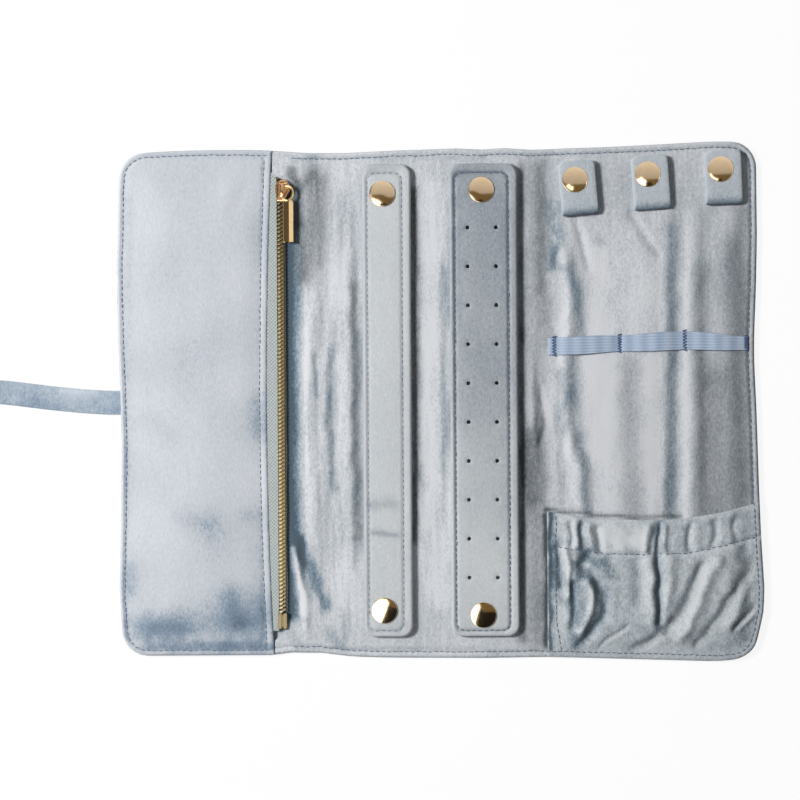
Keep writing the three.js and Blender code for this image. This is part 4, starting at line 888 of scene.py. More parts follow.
def makePanel(name, x, cutEnd, bodies, bend, nodes):
    fine = np.array([0, 0.08, 0.3, 0.7, 1.2, 1.8, 2.6, 4, 7]) / roll["half"]
    share = stations(fine - 1, 1 - fine, evenSteps(-0.93, 0.93, 0.07))
    gx, gy = columns(x, share), outlineHalf(x)[:, None] * share[None]
    inset = np.maximum(rimInset(gx, gy), 0)
    bed = panelPad["bed"] + (panelPad["flapBed"] - panelPad["bed"]) * (1 - smooth(*panelPad["step"], gx))
    top = panelPad["rim"] + (bed - panelPad["rim"]) * rounded(inset / panelPad["lip"])
    top = top - (top - panelPad["fold"]) * foldDip(gx) * smooth(0, panelPad["lip"], inset)
    low = panelPad["rim"] - panelPad["rim"] * rounded(inset / panelPad["rimRadius"])
    gx, gy = shaped(gx, gy)
    wall = placed(gx[cutEnd], gy[cutEnd], panelPad["rim"])[None]
    grids = [placed(gx, gy, height) for height in (top, low)]
    lattices = [np.concatenate([wall, grid] if cutEnd == 0 else [grid, wall]) for grid in grids]
    piece = makePiece(name, *closedLattice(*lattices), cloths["shell"], "velvet")
    brush(piece, slope=0.4, base=0.1, patch=0.25, seed=21)
    bent(piece, bodies, bend, *nodes)


leftRows = stations(roll["leftEdge"] + edgeFine, evenSteps(-138, -86, 5), evenSteps(-84, -60, 1),
                    evenSteps(-56, roll["split"], 6))
rightRows = stations(roll["rightEdge"] - edgeFine, evenSteps(54, 138, 6), evenSteps(33, 53, 1),
                     evenSteps(roll["split"], 31, 5))
makePanel("panelLeft", leftRows, -1, ("left_flap", "middle"), leftBend,
          ("left_outer_shell", "left_padding", "left_back_lining", "left_fold_strip", "middle_outer_shell",
           "middle_padding"))
makePanel("panelRight", rightRows, 0, ("middle", "right_panel"), rightBend,
          ("right_fold_strip", "right_outer_shell", "right_padding"))
print("panels made")

# zip pocket front: a padded velvet layer sewn round three sides, its fourth side turned under along the zip
front = {"inset": 0.4, "rimZ": 4.25, "lip": 1.3, "crown": 2.0, "edgeSeam": 2.4, "zipSeam": 3.5, "pullIn": 3.0,
         "edgeDent": (0.5, 0.8), "zipDent": (0.45, 0.7), "under": 0.8, "seamHold": 0.7, "heldBelow": 5.2,
         "pullFrom": -125, "edgeRise": (2.4, 20), "zipRise": (5, 22), "clear": (1, 4),
         "pressure": 0.6, "swell": 0.5}
frontStrokes = [  # drawn line, width, lean added: smudges of brushed nap, and painted shade along the edges and the zip side
    ([(-141, -105.1), (-121.7, -106.1)], 5.5, -1.1), ([(-98.1, -87.4), (-95.4, -102.5)], 5, -0.8),
    ([(-136.8, -113.6), (-80.4, -114.3)], 3, -1.3), ([(-136.2, -7.3), (-127.8, -13.9)], 6, -0.6),
    ([(-121, -53.5), (-109.2, -56.4)], 6, -0.7), ([(-90.8, -51.8), (-84.7, -52.7)], 4.5, -0.6),
    ([(-85.3, 1.8), (-85.4, -12.3)], 4.5, -0.6), ([(-144.2, -75.4), (-144.2, -86.3)], 4, -0.7),
    ([(-145.9, 96.2), (-148.1, -110.7)], 2.2, -0.6), ([(-136.8, -102.3), (-84.1, -102.6)], 8, -0.9),
    ([(-102.8, -92.1), (-84, -93.2)], 8, -0.6), ([(-95.1, 95.9), (-95.6, 11.3)], 11, 0.35),
    ([(-136.6, -73.1), (-89.3, -31.1)], 18, 0.25), ([(-126.9, -30.9), (-96.3, -16.9)], 16, 0.15),
    ([(-140.2, 117.3), (-82.8, 116)], 1.6, -0.35), ([(-82.8, 109.9), (-84.1, -111)], 1.2, -0.4)]


def dent(away, depth, width):  # a soft dent or channel: depth * exp(-(distance / width)^2)
    return depth * np.exp(-(away / width) ** 2)


def bowed(y):  # 1 at the middle of a side, 0 at its ends
    return 1 - (y / roll["half"]) ** 2


def frontEdge(y):  # the side along the zip, drawn in at its middle
    return roll["leftFold"] - front["pullIn"] * bowed(y)


def makePocketFront():
    x = stations(roll["leftEdge"] + front["inset"] + edgeFine, evenSteps(-138, -92, 1.6),
                 evenSteps(-92, -79.5, 0.7), [-79.2, -78.8, -78.4, -78.15, roll["leftFold"]])
    fine = np.array([0, 0.06, 0.25, 0.6, 1.1, 1.7, 2.3, 2.9, 3.6, 4.5, 6]) / roll["half"]
    share = stations(fine - 1, 1 - fine, evenSteps(-0.94, 0.94, 0.0135))
    gx, gy = columns(x, share), outlineHalf(x, front["inset"])[:, None] * share[None]
    gx = gx - smooth(front["pullFrom"], roll["leftFold"], gx) * front["pullIn"] * bowed(gy)
    outer = np.maximum(rimInset(gx, gy) - front["inset"], 0)
    inner = np.maximum(frontEdge(gy) - gx, 0)
    near = np.minimum(outer, inner)
    top = front["rimZ"] + front["lip"] * rounded(near / front["lip"])
    top += front["crown"] * smooth(*front["edgeRise"], outer) * smooth(*front["zipRise"], inner)
    top += 0.12 * wander(gx, gy, 55, 4) * smooth(3, 20, near)
    top -= dent(outer - front["edgeSeam"], *front["edgeDent"])
    top -= dent(inner - front["zipSeam"], *front["zipDent"]) * smooth(*front["clear"], outer)
    puckers = 0.10 * wander(gx * 0.3, gy, 4, 6) * smooth(5, 1, inner)  # close to the zip
    top += puckers * smooth(*front["clear"], outer)
    low = front["rimZ"] + front["under"] * smooth(1.5, 6, outer) * smooth(-1, 4, inner)
    piece = padPiece("pocketFront", *shaped(gx, gy), top, low, cloths["flap"], "velvet")
    x, y, z = placesOf(piece.data).T
    fromEdge = rimInset(x, y) - front["inset"] - front["edgeSeam"]
    fromZip = frontEdge(y) - x - front["zipSeam"]
    sewn = np.minimum(fromEdge, fromZip) < front["seamHold"]
    puff(piece, sewn | (z < front["heldBelow"]), front["pressure"], front["swell"])
    brush(piece, frontStrokes, slope=1.3, base=0.3, patch=0.25, seed=8)
    return piece


pocketFront = makePocketFront()
carried(pocketFront, "left_flap", "zip_pocket_front")
print("pocket front made")

# zip: tapes, teeth, stops, slider and pull
zipSet = {"x": -74.25, "z": 4.775, "half": 1.8, "pitch": 1.9, "first": -97.7, "count": 104, "top": 108.6,
          "low": -106.8, "past": 0.35, "toothLong": 0.68, "toothHigh": 1.2, "lean": 0.22}
tapeLine = evenSteps(zipSet["low"], zipSet["top"], 2.0)


def tapeStrip(xs, zs, thick):  # a profile of (x, z) carried straight along the zip
    side = placed(xs, zs)
    x, z = np.concatenate([side + [0, thick / 2], side[::-1] - [0, thick / 2]]).T
    return placed(x, tapeLine[:, None], z).reshape(-1, 3), tubeFaces(len(tapeLine), len(x))


def toothRow(side):  # one tooth repeated up the zip, leaning, its head past the middle of the chain, on a rib
    reach, long, high = zipSet["half"] + zipSet["past"], zipSet["toothLong"], zipSet["toothHigh"]
    points, faces = softBox((-reach / 2, -long, -high), (reach / 2, long, high), 0.6, 2)
    points[:, 1] += zipSet["lean"] * points[:, 0]
    points[:, 0] += side * (zipSet["half"] - reach / 2) + zipSet["x"]
    points[:, 2] += zipSet["z"]
    rise = zipSet["first"] + zipSet["pitch"] * (np.arange(zipSet["count"]) + (0.5 if side > 0 else 0))
    spread = points[None] + placed(0, rise, 0)[:, None]
    every = (faces[None] + len(points) * np.arange(len(rise))[:, None, None]).reshape(-1, 4)
    ribX = zipSet["x"] + side * 0.9
    rib = softBox((ribX - 0.85, rise[0] - 0.5, 3.9), (ribX + 0.85, rise[-1] + 0.5, 5.0), 0.3, 4)
    return joined([(spread.reshape(-1, 3), every), rib])


def zipPiece(name, shape, material, body, node, **finish):
    carried(makePiece(name, *shape, material, "zip_brass", **finish), body, node)


tapeLeft = tapeStrip(np.linspace(-89, -76.1, 9), 4.6, 0.4)
tapeRight = tapeStrip([-72.8, -72.5, -72.2, -70.6, -67.6, -65.6], [3.6, 3.0, 2.45, 2.3, 2.25, 2.2], 0.25)
carried(makePiece("tapeLeft", *tapeLeft, tapeCloth, "zip_tape"), "left_flap", "zip_tape_left")
bent(makePiece("tapeRight", *tapeRight, tapeCloth, "zip_tape"), ("left_flap", "middle"), leftBend,
     "zip_tape_right")
for side, label in ((-1, "Left"), (1, "Right")):
    # the right row of teeth lies in shade and takes the shaded brass
    teethBrass = brass if side < 0 else shadeBrass
    zipPiece("teeth" + label, toothRow(side), teethBrass, "left_flap", "zip_teeth_" + label.lower())
    stopX = zipSet["x"] + side * 1.15
    stop = softBox((stopX - 0.95, 105.4, 3.5), (stopX + 0.95, 107.6, 5.5), 0.35)
    zipPiece("topStop" + label, stop, brass, "left_flap", "zip_top_stop_" + label.lower())
lowStop = joined([softBox((-76.5, -106, 3.45), (-74.4, -98.1, 6.2), 0.35),
                  softBox((-74.1, -106, 3.45), (-72.0, -98.1, 6.2), 0.35),
                  softBox((-75.2, -105.4, 3.7), (-73.3, -98.6, 6.0), 0.5)])
# the bottom stop takes the shaded brass too: painted shade
zipPiece("bottomStop", lowStop, shadeBrass, "left_flap", "zip_bottom_stop")

slider = {"x": -74.0, "y": 100.0, "wide": 6.8, "lean": 0.9, "shoulder": 0.25, "long": 10.0, "plate": 0.8,
          "lowZ": 2.575, "topZ": 6.175, "archSpan": 3.2, "archZ": 6.9, "archHigh": 1.95,
          "rimZ": 7.05, "rimWire": 0.5, "rimIn": (0.86, 0.92), "dish": 0.25, "round": 0.7}


def sliderSides(v):  # middle and half width along the slider: drawn in below, a half circle above
    rise = np.clip((v - slider["shoulder"]) / (1 - slider["shoulder"]), 0, 1)
    drawn = smooth(-1, slider["shoulder"], v)
    half = slider["wide"] / 2 * (0.55 + 0.45 * drawn) * np.sqrt(np.maximum(1 - rise ** 2, 0.02))
    return slider["x"] + slider["lean"] * drawn, half


def sliderPlate(z0, dished):  # a shield with a rounded rim
    v = np.sin(np.linspace(-1, 1, 41) * np.pi / 2)
    u, v = np.meshgrid(np.linspace(-1, 1, 25), v, indexing="ij")
    middle, half = sliderSides(v)
    x, y = middle + u * half, slider["y"] + v * slider["long"] / 2
    edge = np.minimum(1 - np.abs(u), 1 - np.abs(v)) * 3.5
    thick = slider["plate"] / 2
    rim = thick * rounded(edge / slider["round"])
    top = z0 + thick + rim - dished * slider["dish"] * smooth(0.6, 1.6, edge)
    low = z0 + thick - rim
    return closedLattice(placed(x, y, top), placed(x, y, low))


def sliderArch():  # the bridge that holds the pull
    turn = np.linspace(0, np.pi, 25)
    y = slider["y"] + slider["archSpan"] * np.cos(turn)
    z = slider["archZ"] + slider["archHigh"] * np.sin(turn) ** 0.7
    return sweepStrap(placed(slider["x"] + 0.6, y, z), (1, 0, 0), strapSection(1.9, 1.1, 4))


def sliderRim():  # polished rim of the upper plate, up one side and down the other
    bend = np.sin(np.linspace(0, np.pi / 2, 13)[1:])
    shoulder = slider["shoulder"]
    climb = np.concatenate([np.linspace(-0.9, shoulder, 12), shoulder + (1 - shoulder) * bend])
    middle, half = sliderSides(climb)
    inX, inY = slider["rimIn"]
    y = slider["y"] + inY * climb * slider["long"] / 2
    sides = [placed(middle + way * inX * half, y, slider["rimZ"]) for way in (-1, 1)]
    loop = np.concatenate([sides[0], sides[1][::-1]])
    return sweepStrap(loop, (0, 0, 1), tubeSection(slider["rimWire"], 10))


wedge = softBox((slider["x"] - 0.75, 102.6, 3.2), (slider["x"] + 0.75, 104.7, 6.4), 0.5)
sliderShape = joined([sliderPlate(slider["topZ"], 1), sliderPlate(slider["lowZ"], 0), sliderArch(),
                      sliderRim(), wedge])
zipPiece("zipSlider", sliderShape, sliderGold, "zip_slider_body", "zip_slider", merge=0)

pull = {"eyeX": -70.9, "eyeY": 98.6, "eyeHalf": (2.6, 3.4), "wire": 0.6, "z": 7.82, "x": -70.4, "wide": 4.9,
        "top": 95.6, "low": 75.6, "ridge": 0.14, "roof": 1.1, "drop": 0.35, "rim": 0.1}


def pullEye():  # a wire ring
    turn = around(48)
    halfX, halfY = pull["eyeHalf"]
    eye = placed(pull["eyeX"] + halfX * np.cos(turn), pull["eyeY"] + halfY * np.sin(turn), pull["z"])
    return sweepStrap(eye, (0, 0, 1), tubeSection(pull["wire"], 12), loop=True)


def pullTab():  # a bar with a sharp ridge along it: two slopes that meet off its middle
    rows = stations([0, 0.002, 0.008, 0.02], evenSteps(0.05, 0.95, 0.03), [0.98, 0.992, 0.998, 1])
    u, v = np.meshgrid(stations(np.linspace(-1, 1, 21), pull["ridge"]), rows, indexing="ij")
    wide = pull["wide"] / 2 * (0.8 + 0.2 * smooth(0, 0.06, v)) * (1 - 0.03 * smooth(0.98, 1, v))
    edge = np.minimum((1 - np.abs(u)) * pull["wide"] / 2, np.minimum(v, 1 - v) * 20)
    slopes = np.minimum((1 + u) / (1 + pull["ridge"]), 0.35 + 0.65 * (1 - u) / (1 - pull["ridge"]))
    x, y = pull["x"] + u * wide, pull["top"] + (pull["low"] - pull["top"]) * v
    base, rim = pull["z"] - pull["drop"], pull["rim"] * rounded(edge / 0.3)
    top = base + rim + pull["roof"] * slopes * rounded(edge / 0.12)
    return closedLattice(placed(x, y, top), placed(x, y, base - rim))


zipPiece("zipPull", joined([pullEye(), pullTab()]), pullGold, "zip_pull_body", "zip_pull", merge=0, sharp=28)
print("zip made")

# linings: one velvet sheet over the middle and right panels, cut where the wide bar hides it, in long folds
lining = {"base": 4.12, "thick": 0.7, "rimZ": 3.35, "inset": 0.35, "seam": 2.7, "leftX": -72.4, "reach": 5.6,
          "trench": 11.5, "least": 2.2, "deep": 2.55, "climbHigh": 1.45, "climbPower": 1.2, "overStops": 2.1,
          "lip": 1.1, "lipHigh": 0.15, "seamDent": (0.42, 0.75), "rimTop": 4.4, "foldDrop": 0.5,
          "foldFrom": 38.6,
          # waves: amount, stretch along, size, seed
          "leftWaves": [(0.10, 1, 18, 31), (0.12, 1, 40, 32), (0.05, 0.2, 5, 33)],
          "rightWaves": [(0.10, 1, 20, 41), (0.15, 1, 45, 42), (0.04, 0.25, 6, 43)]}
barSpans = [(-36.2, -13.6), (5.2, 37.6)]  # where the bars lie, the lining stays flat under them
leftFolds = [  # crest line with heights, spread to the left and to the right
    ([(-56.2, 79.2, 0.2), (-58.2, 48.6, 0.8), (-61.2, 20.4, 1.2), (-61.9, -7.7, 1.2),
      (-59.7, -35.9, 1.1), (-58.9, -59.4, 0.8), (-57.6, -73.5, 0.3)], 3.8, 6),
    ([(-48.6, 95.5, 0.4), (-48.4, 53.3, 0.6), (-50.4, 29.8, 0.4)], 4, 4),
    ([(-42, 88.5, 0.2), (-41.8, 48.5, 0.9), (-42.1, -7.9, 1), (-41.8, -36, 0.9),
      (-41.6, -73.6, 0.6)], 5, 2.8), ([(-52.7, 25.1, 0.5), (-53.9, -7.8, 0.7), (-51.7, -36, 0.5)], 3, 2.4),
    ([(-69.7, -64.1, 0.8), (-67.4, -74.4, 1.5), (-65.2, -86.2, 1.6), (-63.4, -99.4, 1)], 2.2, 2.2),
    ([(0.6, 67, 0.25), (0.2, 1.3, 0.35), (-0.1, -45.7, 0.25)], 5, 2.2)]
rightFolds = [
    ([(53.4, 33.8, 0.1), (53.2, -8.4, 0.5), (54.4, -46, 0.4)], 6, 2.6),
    ([(59.7, 71.3, 0.8), (62.4, 47.8, 1.2), (59.4, 19.7, 1.2), (59.7, -13.1, 1.2), (65.7, -32, 1.2),
      (66.5, -52.1, 1)], 3, 3.6),
    ([(107.2, 87.4, 0.95), (106, 47.6, 1.5), (105.7, 0.7, 1.5), (104, -54.7, 1.45)], 20, 4.5),
    ([(119.8, 87.3, 0.7), (118.7, 47.5, 1.2), (118.4, 0.6, 1.3), (117.6, -54.8, 1.2)], 4.6, 5.5),
    ([(133.8, 75.5, 0.7), (134.4, 19.2, 1), (134, -46.4, 0.9)], 7, 7),
    ([(43.4, 10.4, 0.7), (43.8, -8.4, 0.8), (45.1, -22.4, 0.5)], 2.5, 2.5)]
rightCreases = [  # sharp dents: line, width, depth
    ([(64.5, 86.3), (67.3, 76), (70.5, 63.3)], 1.8, 0.5),
    ([(90.8, 88), (96.8, 77.7), (103.3, 69.2)], 1.9, 0.6),
    ([(47.6, 5.7), (49.9, -10.7), (47, -20.6), (42.8, -21.5)], 1.6, 0.5)]
liningStrokes = [  # drawn line, width, lean added: smudges of brushed nap, painted shade in folds, beside the bars and below the zip, and painted highlights on fold crests
    ([(-60.2, 114.4), (-59.3, 102.7)], 4, -0.5), ([(-46.1, 109.6), (-45.6, 48.5)], 4.5, 0.3),
    ([(-58.9, 22.8), (-58.5, 2.6)], 1.3, -0.8),
    ([(-50.4, 25.1), (-51, 1.6), (-51.2, -26.6), (-50.8, -39.8)], 2.4, -0.7),
    ([(-63.6, 20.5), (-63.8, -7.7)], 2.5, 0.3), ([(-46.6, -50.1), (-45.8, -66.6)], 2, -0.5),
    ([(-66, -66.5), (-63.2, -74.5), (-59, -83.9), (-54.4, -95.2)], 3.4, -1.9),
    ([(-69.3, -67.8), (-67.5, -75.8), (-65.6, -86.2), (-63.8, -98)], 1.9, 2),
    ([(-44.9, -79.3), (-45, -92.4)], 7, 0.4), ([(-45.5, -99.5), (-44.6, -111.2)], 2, -0.4),
    ([(-53.5, -106.5), (-48.4, -113.5)], 2.5, -0.6),
    ([(-71.4, -105.9), (-67.7, -111.1), (-63.9, -113.9)], 1.6, -0.5),
    ([(-39.4, 64.9), (-39.1, 29.7), (-39.3, -7.9), (-39.5, -45.5)], 2.6, -0.35),
    ([(2.4, 64.2), (1.9, -31.6)], 2.2, -0.5), ([(-9.9, -35.8), (-7.1, -39.1)], 2.2, -0.7),
    ([(-3.9, 99.9), (-5.8, -55)], 5, 0.5), ([(-1.1, -62.1), (-0.4, -92.6)], 5, 0.6),
    ([(5.4, 95.2), (5.6, 34.1)], 1.5, -0.6), ([(57, 92), (56.9, 74.6)], 3, -0.8),
    ([(51.9, 92.5), (52.7, 64.3)], 3, -1.1), ([(62.3, 113.5), (62.6, 71.3)], 3, 0.35),
    ([(55, 71.4), (54.5, 63.4)], 1.8, -1), ([(60.6, 63.3), (64.8, 47.8), (67.5, 31.9)], 3, -1),
    ([(63.2, 22), (62.1, 0.9)], 3, -0.6), ([(63.1, 4.7), (63, -15.5)], 2.6, -0.4),
    ([(66.3, -15.5), (67.9, -52.1)], 3.2, -0.8), ([(57.5, 14.1), (57.4, -14.1)], 2.6, -1),
    ([(109, 80.4), (109.2, 33.5), (108.5, -13.4), (108.7, -55.7)], 4.5, -0.75),
    ([(104.2, 66.3), (103.1, -54.7)], 2.4, 0.3), ([(132.9, 75.5), (132.1, -46.4)], 12, -0.25),
    ([(77.2, 10.2), (78, -17.9), (79.7, -48.5)], 7, 0.5), ([(78.1, 5.5), (94.3, 47.6)], 12, 0.25),
    ([(73.8, 68.9), (74.6, 47.8), (72.5, 10.2), (75.2, -17.9)], 7, 0.7),
    ([(98.8, 19.5), (99.3, -50.9)], 3, 0.7), ([(115.9, 56.9), (114.8, -53.3)], 2.2, 0.3),
    ([(74.3, 76.9), (75.7, 75)], 2.2, -0.8), ([(75.9, 108.8), (75.8, 92.3)], 4, -0.4),
    ([(108.7, 110.9), (109.6, 94.5)], 4, -0.4), ([(50.2, 118.3), (55.2, 94.8)], 4, -0.3)]
liningGreyShades = [  # painted grey shade, beside the bars, above the pocket mouth and in folds: drawn line, width, share
    ([(-59.3, 106), (-59.5, 81.5), (-61.5, 60.4)], 6, 0.48), ([(-64.6, 83.9), (-64.3, 58.1)], 3, 0.3),
    ([(-54.6, 105), (-54.8, 67.4)], 3.5, 0.25), ([(-66.4, 103.7), (-66, 83.9)], 2.4, 0.6),
    ([(-57.4, 110.6), (-61.2, 106), (-65, 100.4)], 2, 0.25),
    ([(-40.3, 55.6), (-40, 29.7), (-39.3, -7.9), (-39.2, -64.2)], 2.2, 0.42),
    ([(49.2, 111.3), (48.8, 38.5)], 3, 0.22), ([(47.5, -8.4), (48.3, -45.9)], 3.2, 0.3),
    ([(45, 111.3), (45.6, 66.7), (45, -45.9)], 6.5, 0.3), ([(42.3, -15.4), (42.6, -45.9)], 4, 0.45),
    ([(48.2, 109), (47.9, 52.6)], 2.6, 0.2), ([(44.9, -55.3), (45.5, -111.6)], 6, 0.5),
    ([(52.1, 47.9), (52, 26.8)], 2.4, 0.25), ([(123.9, 61.5), (123.1, 0.6), (123.2, -51)], 4, 0.34),
    ([(128.7, 9.9), (129.3, -51.1)], 6, 0.38),
    ([(142.8, 89.5), (142.1, 47.3), (142, -48.8), (144.8, -51.2)], 5, 0.48),
    ([(135.6, 70.8), (134.9, -51.1)], 8, 0.18),
    ([(-11.4, 100), (-11.3, 48.3), (-11.2, -26.8), (-12.4, -64.4)], 2.2, 0.85),
    ([(38.9, 109), (38.4, 29.2)], 2, 0.3), ([(38.6, 71.5), (38.4, -48.2)], 2.2, 0.2),
    ([(38.9, 33.9), (38.9, -43.5)], 2.6, 0.2), ([(38.7, 10.4), (38.9, -36.5)], 3, 0.15),
    ([(37.9, -50.6), (37.5, -111.6)], 2, 0.5),
    ([(49.6, -50.2), (70.7, -53.1), (95.1, -54.2), (112.9, -53.8)], 1, 0.7),
    ([(49.6, -53), (50, -74.1), (49.7, -114)], 1.6, 0.8), ([(88.5, 17.2), (90, -50.9)], 6, 0.34),
    ([(86.2, 106.3), (90.8, 92.2)], 7, 0.12), ([(100.1, 71.1), (100.7, -50.9)], 3, 0.08)]


def flatUnderBars(x):  # 1 away from the bars, 0 under them
    clear = np.ones(np.shape(x))
    for a, b in barSpans:
        clear = clear * (1 - smooth(a - 1.5, a + 0.5, x) * (1 - smooth(b - 0.5, b + 1.5, x)))
    return clear


def zipGap(y):  # 1 along the open length of the zip, 0 past its ends
    return (1 - smooth(100, 105, y)) * (1 - smooth(99, 106, -y))


def rimShape(inset):  # a rounded lip at the edge, then a channel that the edge stitch pulls down
    high = lining["base"] - lining["rimZ"] + lining["lipHigh"]
    z = lining["rimZ"] + high * rounded(inset / lining["lip"])
    return z - dent(inset - lining["seam"], *lining["seamDent"]) - lining["lipHigh"] * smooth(3, 6, inset)


def reliefOf(folds, x, y, waves):  # long folds and soft unevenness
    wx, wy = swayed(x, y, 0.6, 34)
    total = sum(ridge(wx, wy, crest, toLeft, toRight) for crest, toLeft, toRight in folds)
    for amount, stretch, size, seed in waves:
        total = total + amount * wander(x, y * stretch, size, seed)
    return total


def liningSheet(name, gx, gy, top):
    low = np.maximum(top - lining["thick"], lining["least"])
    return padPiece(name, *shaped(gx, gy), top, low, cloths["lining"], "lining_velvet")


seamFine = np.array([0, 0.1, 0.35, 0.8, 1.3, 1.9, 2.4, 2.7, 3.0, 3.6, 4.5, 6])  # rows over lip and channel
liningShare = stations(seamFine / roll["half"] - 1, 1 - seamFine / roll["half"],
                       evenSteps(-0.945, 0.945, 0.0115))


def makeLiningLeft():
    leftX = lining["leftX"]
    x = stations(evenSteps(leftX, -40, 0.55), evenSteps(-40, -13, 1.1), evenSteps(-13, 7, 0.8),
                 evenSteps(7, roll["split"], 2))
    gx, gy = columns(x, liningShare), (outlineHalf(x) - lining["inset"])[:, None] * liningShare[None]
    pastEnds = np.where(gy > 0, smooth(104.6, 107, gy), smooth(106.2, 112, -gy))  # past both ends of the zip
    gx = gx - lining["reach"] * pastEnds * (1 - smooth(leftX, -56, gx))
    inset = roll["half"] - lining["inset"] - np.abs(gy)
    fromZip = np.clip((gx - leftX) / lining["trench"], 0, 1)
    top = rimShape(inset)
    # beside the zip the cloth lies deep and climbs away from it
    beside = lining["deep"] + lining["climbHigh"] * fromZip ** lining["climbPower"]
    top += (beside - top) * zipGap(gy) * (1 - smooth(0.75, 1, fromZip))
    overStops = smooth(104.2, 105.4, gy) * (1 - smooth(109, 114, gy)) * (1 - smooth(-72, -66, gx))
    top += lining["overStops"] * overStops
    rim = np.minimum(rimShape(inset), lining["rimTop"])
    top = np.where(inset < 5, top + (rim - top) * (1 - smooth(1.0, 5.0, inset)), top)
    relief = reliefOf(leftFolds, gx, gy, lining["leftWaves"])
    top += relief * flatUnderBars(gx) * smooth(1.5, 7, inset) * smooth(-0.5, 3, gx - leftX)
    return liningSheet("liningLeft", gx, gy, top)


def makeLiningRight():
    edgeRows = np.concatenate([seamFine, [8, 10, 12]])
    x = stations(evenSteps(roll["split"], 36, 2), evenSteps(36, 66, 0.6), evenSteps(66, 102, 0.9),
                 evenSteps(102, 124, 0.6), evenSteps(124, 138, 0.9),
                 roll["rightEdge"] - lining["inset"] - edgeRows)
    gx, gy = columns(x, liningShare), outlineHalf(x, lining["inset"])[:, None] * liningShare[None]
    inset = np.maximum(rimInset(gx, gy) - lining["inset"], 0)
    sunk = foldDip(gx, 9.0) * smooth(2.5, 8, inset) * smooth(-1.5, 1.5, gx - lining["foldFrom"])
    top = rimShape(inset) - lining["foldDrop"] * sunk
    relief = reliefOf(rightFolds, gx, gy, lining["rightWaves"])
    relief = relief - sum(depth * stroke(gx, gy, line, width) for line, width, depth in rightCreases)
    top += relief * flatUnderBars(gx) * smooth(1.5, 8, inset)
    return liningSheet("liningRight", gx, gy, top)


def paintedZipShade(x, y):  # painted shade: beside the open zip the cloth is painted deep blue, darkest next to the chain
    near = np.clip(1 - (x - lining["leftX"]) / lining["trench"], 0, 1)
    return -4.0 * near ** lining["climbPower"] * zipGap(y) * (x > -80)


liningLeft, liningRight = makeLiningLeft(), makeLiningRight()
# painted shade along the channels that the edge stitching pulls down
shadedSeams = [(line, 0.9, -0.5) for line in (rimPath(roll["split"], roll["rightEdge"], 3.0)[::6],
                                               [(-69, 115), (21, 115.4)], [(-69, -115), (21, -115.4)])]
for sheet in (liningLeft, liningRight):
    brush(sheet, liningStrokes + shadedSeams, slope=1.6, base=0.45, patch=0.2, streak=0.09, seed=14,
          more=paintedZipShade, sway=0.5, greyShades=liningGreyShades, greyShadeSlope=0.8)
bent(liningLeft, ("left_flap", "middle"), leftBend, "middle_lining")
bent(liningRight, ("middle", "right_panel"), rightBend, "right_lining")
print("linings made")

# bars: slim padded straps, riveted at the low end and snapped at the top, with a sewn line all round
barSet = {  # centre and width, the two long seams, the lean added to the nap colour: a base and drawn patches
    "ring": {"x": -24.55, "wide": 23.1, "seams": (-33.5, -17.2), "base": 0.6, "strokes": [
        ([(-30.6, -47.9), (-21.2, -47)], 2.8, -0.8), ([(-31.6, -60.5), (-20.4, -62)], 1.5, -1.1),
        ([(-31.1, 109.5), (-18.9, 110.4)], 2, -0.6), ([(-26.2, -100), (-19.2, -104.8)], 4, -0.4)]},
    "earring": {"x": 20.9, "wide": 32.2, "seams": (7.45, 32.6), "base": 0.05, "strokes": [
        ([(22, 118.5), (21.4, 8.2)], 24, -0.65), ([(21.9, 104.4), (21.8, 78.6)], 12, -0.12),
        ([(20.8, -81), (20.6, -116.2)], 25, 0.5), ([(9.3, 104.5), (7.9, 38.8)], 3, -0.25)]}}
barShape = {"low": -109.5, "top": 112.0, "corner": 5.5, "rimZ": 7.2, "rise": 1.9, "drop": 2.9, "topSeam": 4.4,
            "lowSeam": 2.9, "seamCorner": 3.0, "drawIn": 0.2, "lip": 1.3, "underLip": 2.7, "crown": 0.2,
            "seamDent": (0.85, 0.75), "pucker": (0.07, 2.0), "seamHold": 0.6, "pressure": 0.5, "swell": 0.3}
barBend = dict(start=(0, -0.0925, 0), end=(0, -0.0865, 0))  # where a bar turns when it is lifted
earHoles = {"x": 20.1, "apart": 13.3, "rows": 10, "first": -81.9, "pitch": 18.2, "sides": 16,
            "above": 7.5, "dent": (0.5, 1.5),
            "rod": [(0.6, 5.2), (0.86, 5.3), (0.95, 6.5), (0.95, 9), (1.0, 11)]}


def drawIn(y):  # the long sides pull in between the ends
    along = (y - barShape["low"]) / (barShape["top"] - barShape["low"])
    return barShape["drawIn"] * np.sin(np.pi * along) ** 0.5


def barOutline(y, wide):  # half width along a bar, its corners cut by circles
    near = np.clip(np.minimum(y - barShape["low"], barShape["top"] - y), 0, barShape["corner"])
    cut = barShape["corner"] - np.sqrt(barShape["corner"] ** 2 - (barShape["corner"] - near) ** 2)
    return wide / 2 - cut - drawIn(y)


def seamBox(bar):  # x0, x1, y0, y1 of the sewn line
    return *bar["seams"], barShape["low"] + barShape["lowSeam"], barShape["top"] - barShape["topSeam"]


def seamInset(bar, x, y):  # distance inside the sewn line
    return insetOf(x, y, *seamBox(bar), barShape["seamCorner"])


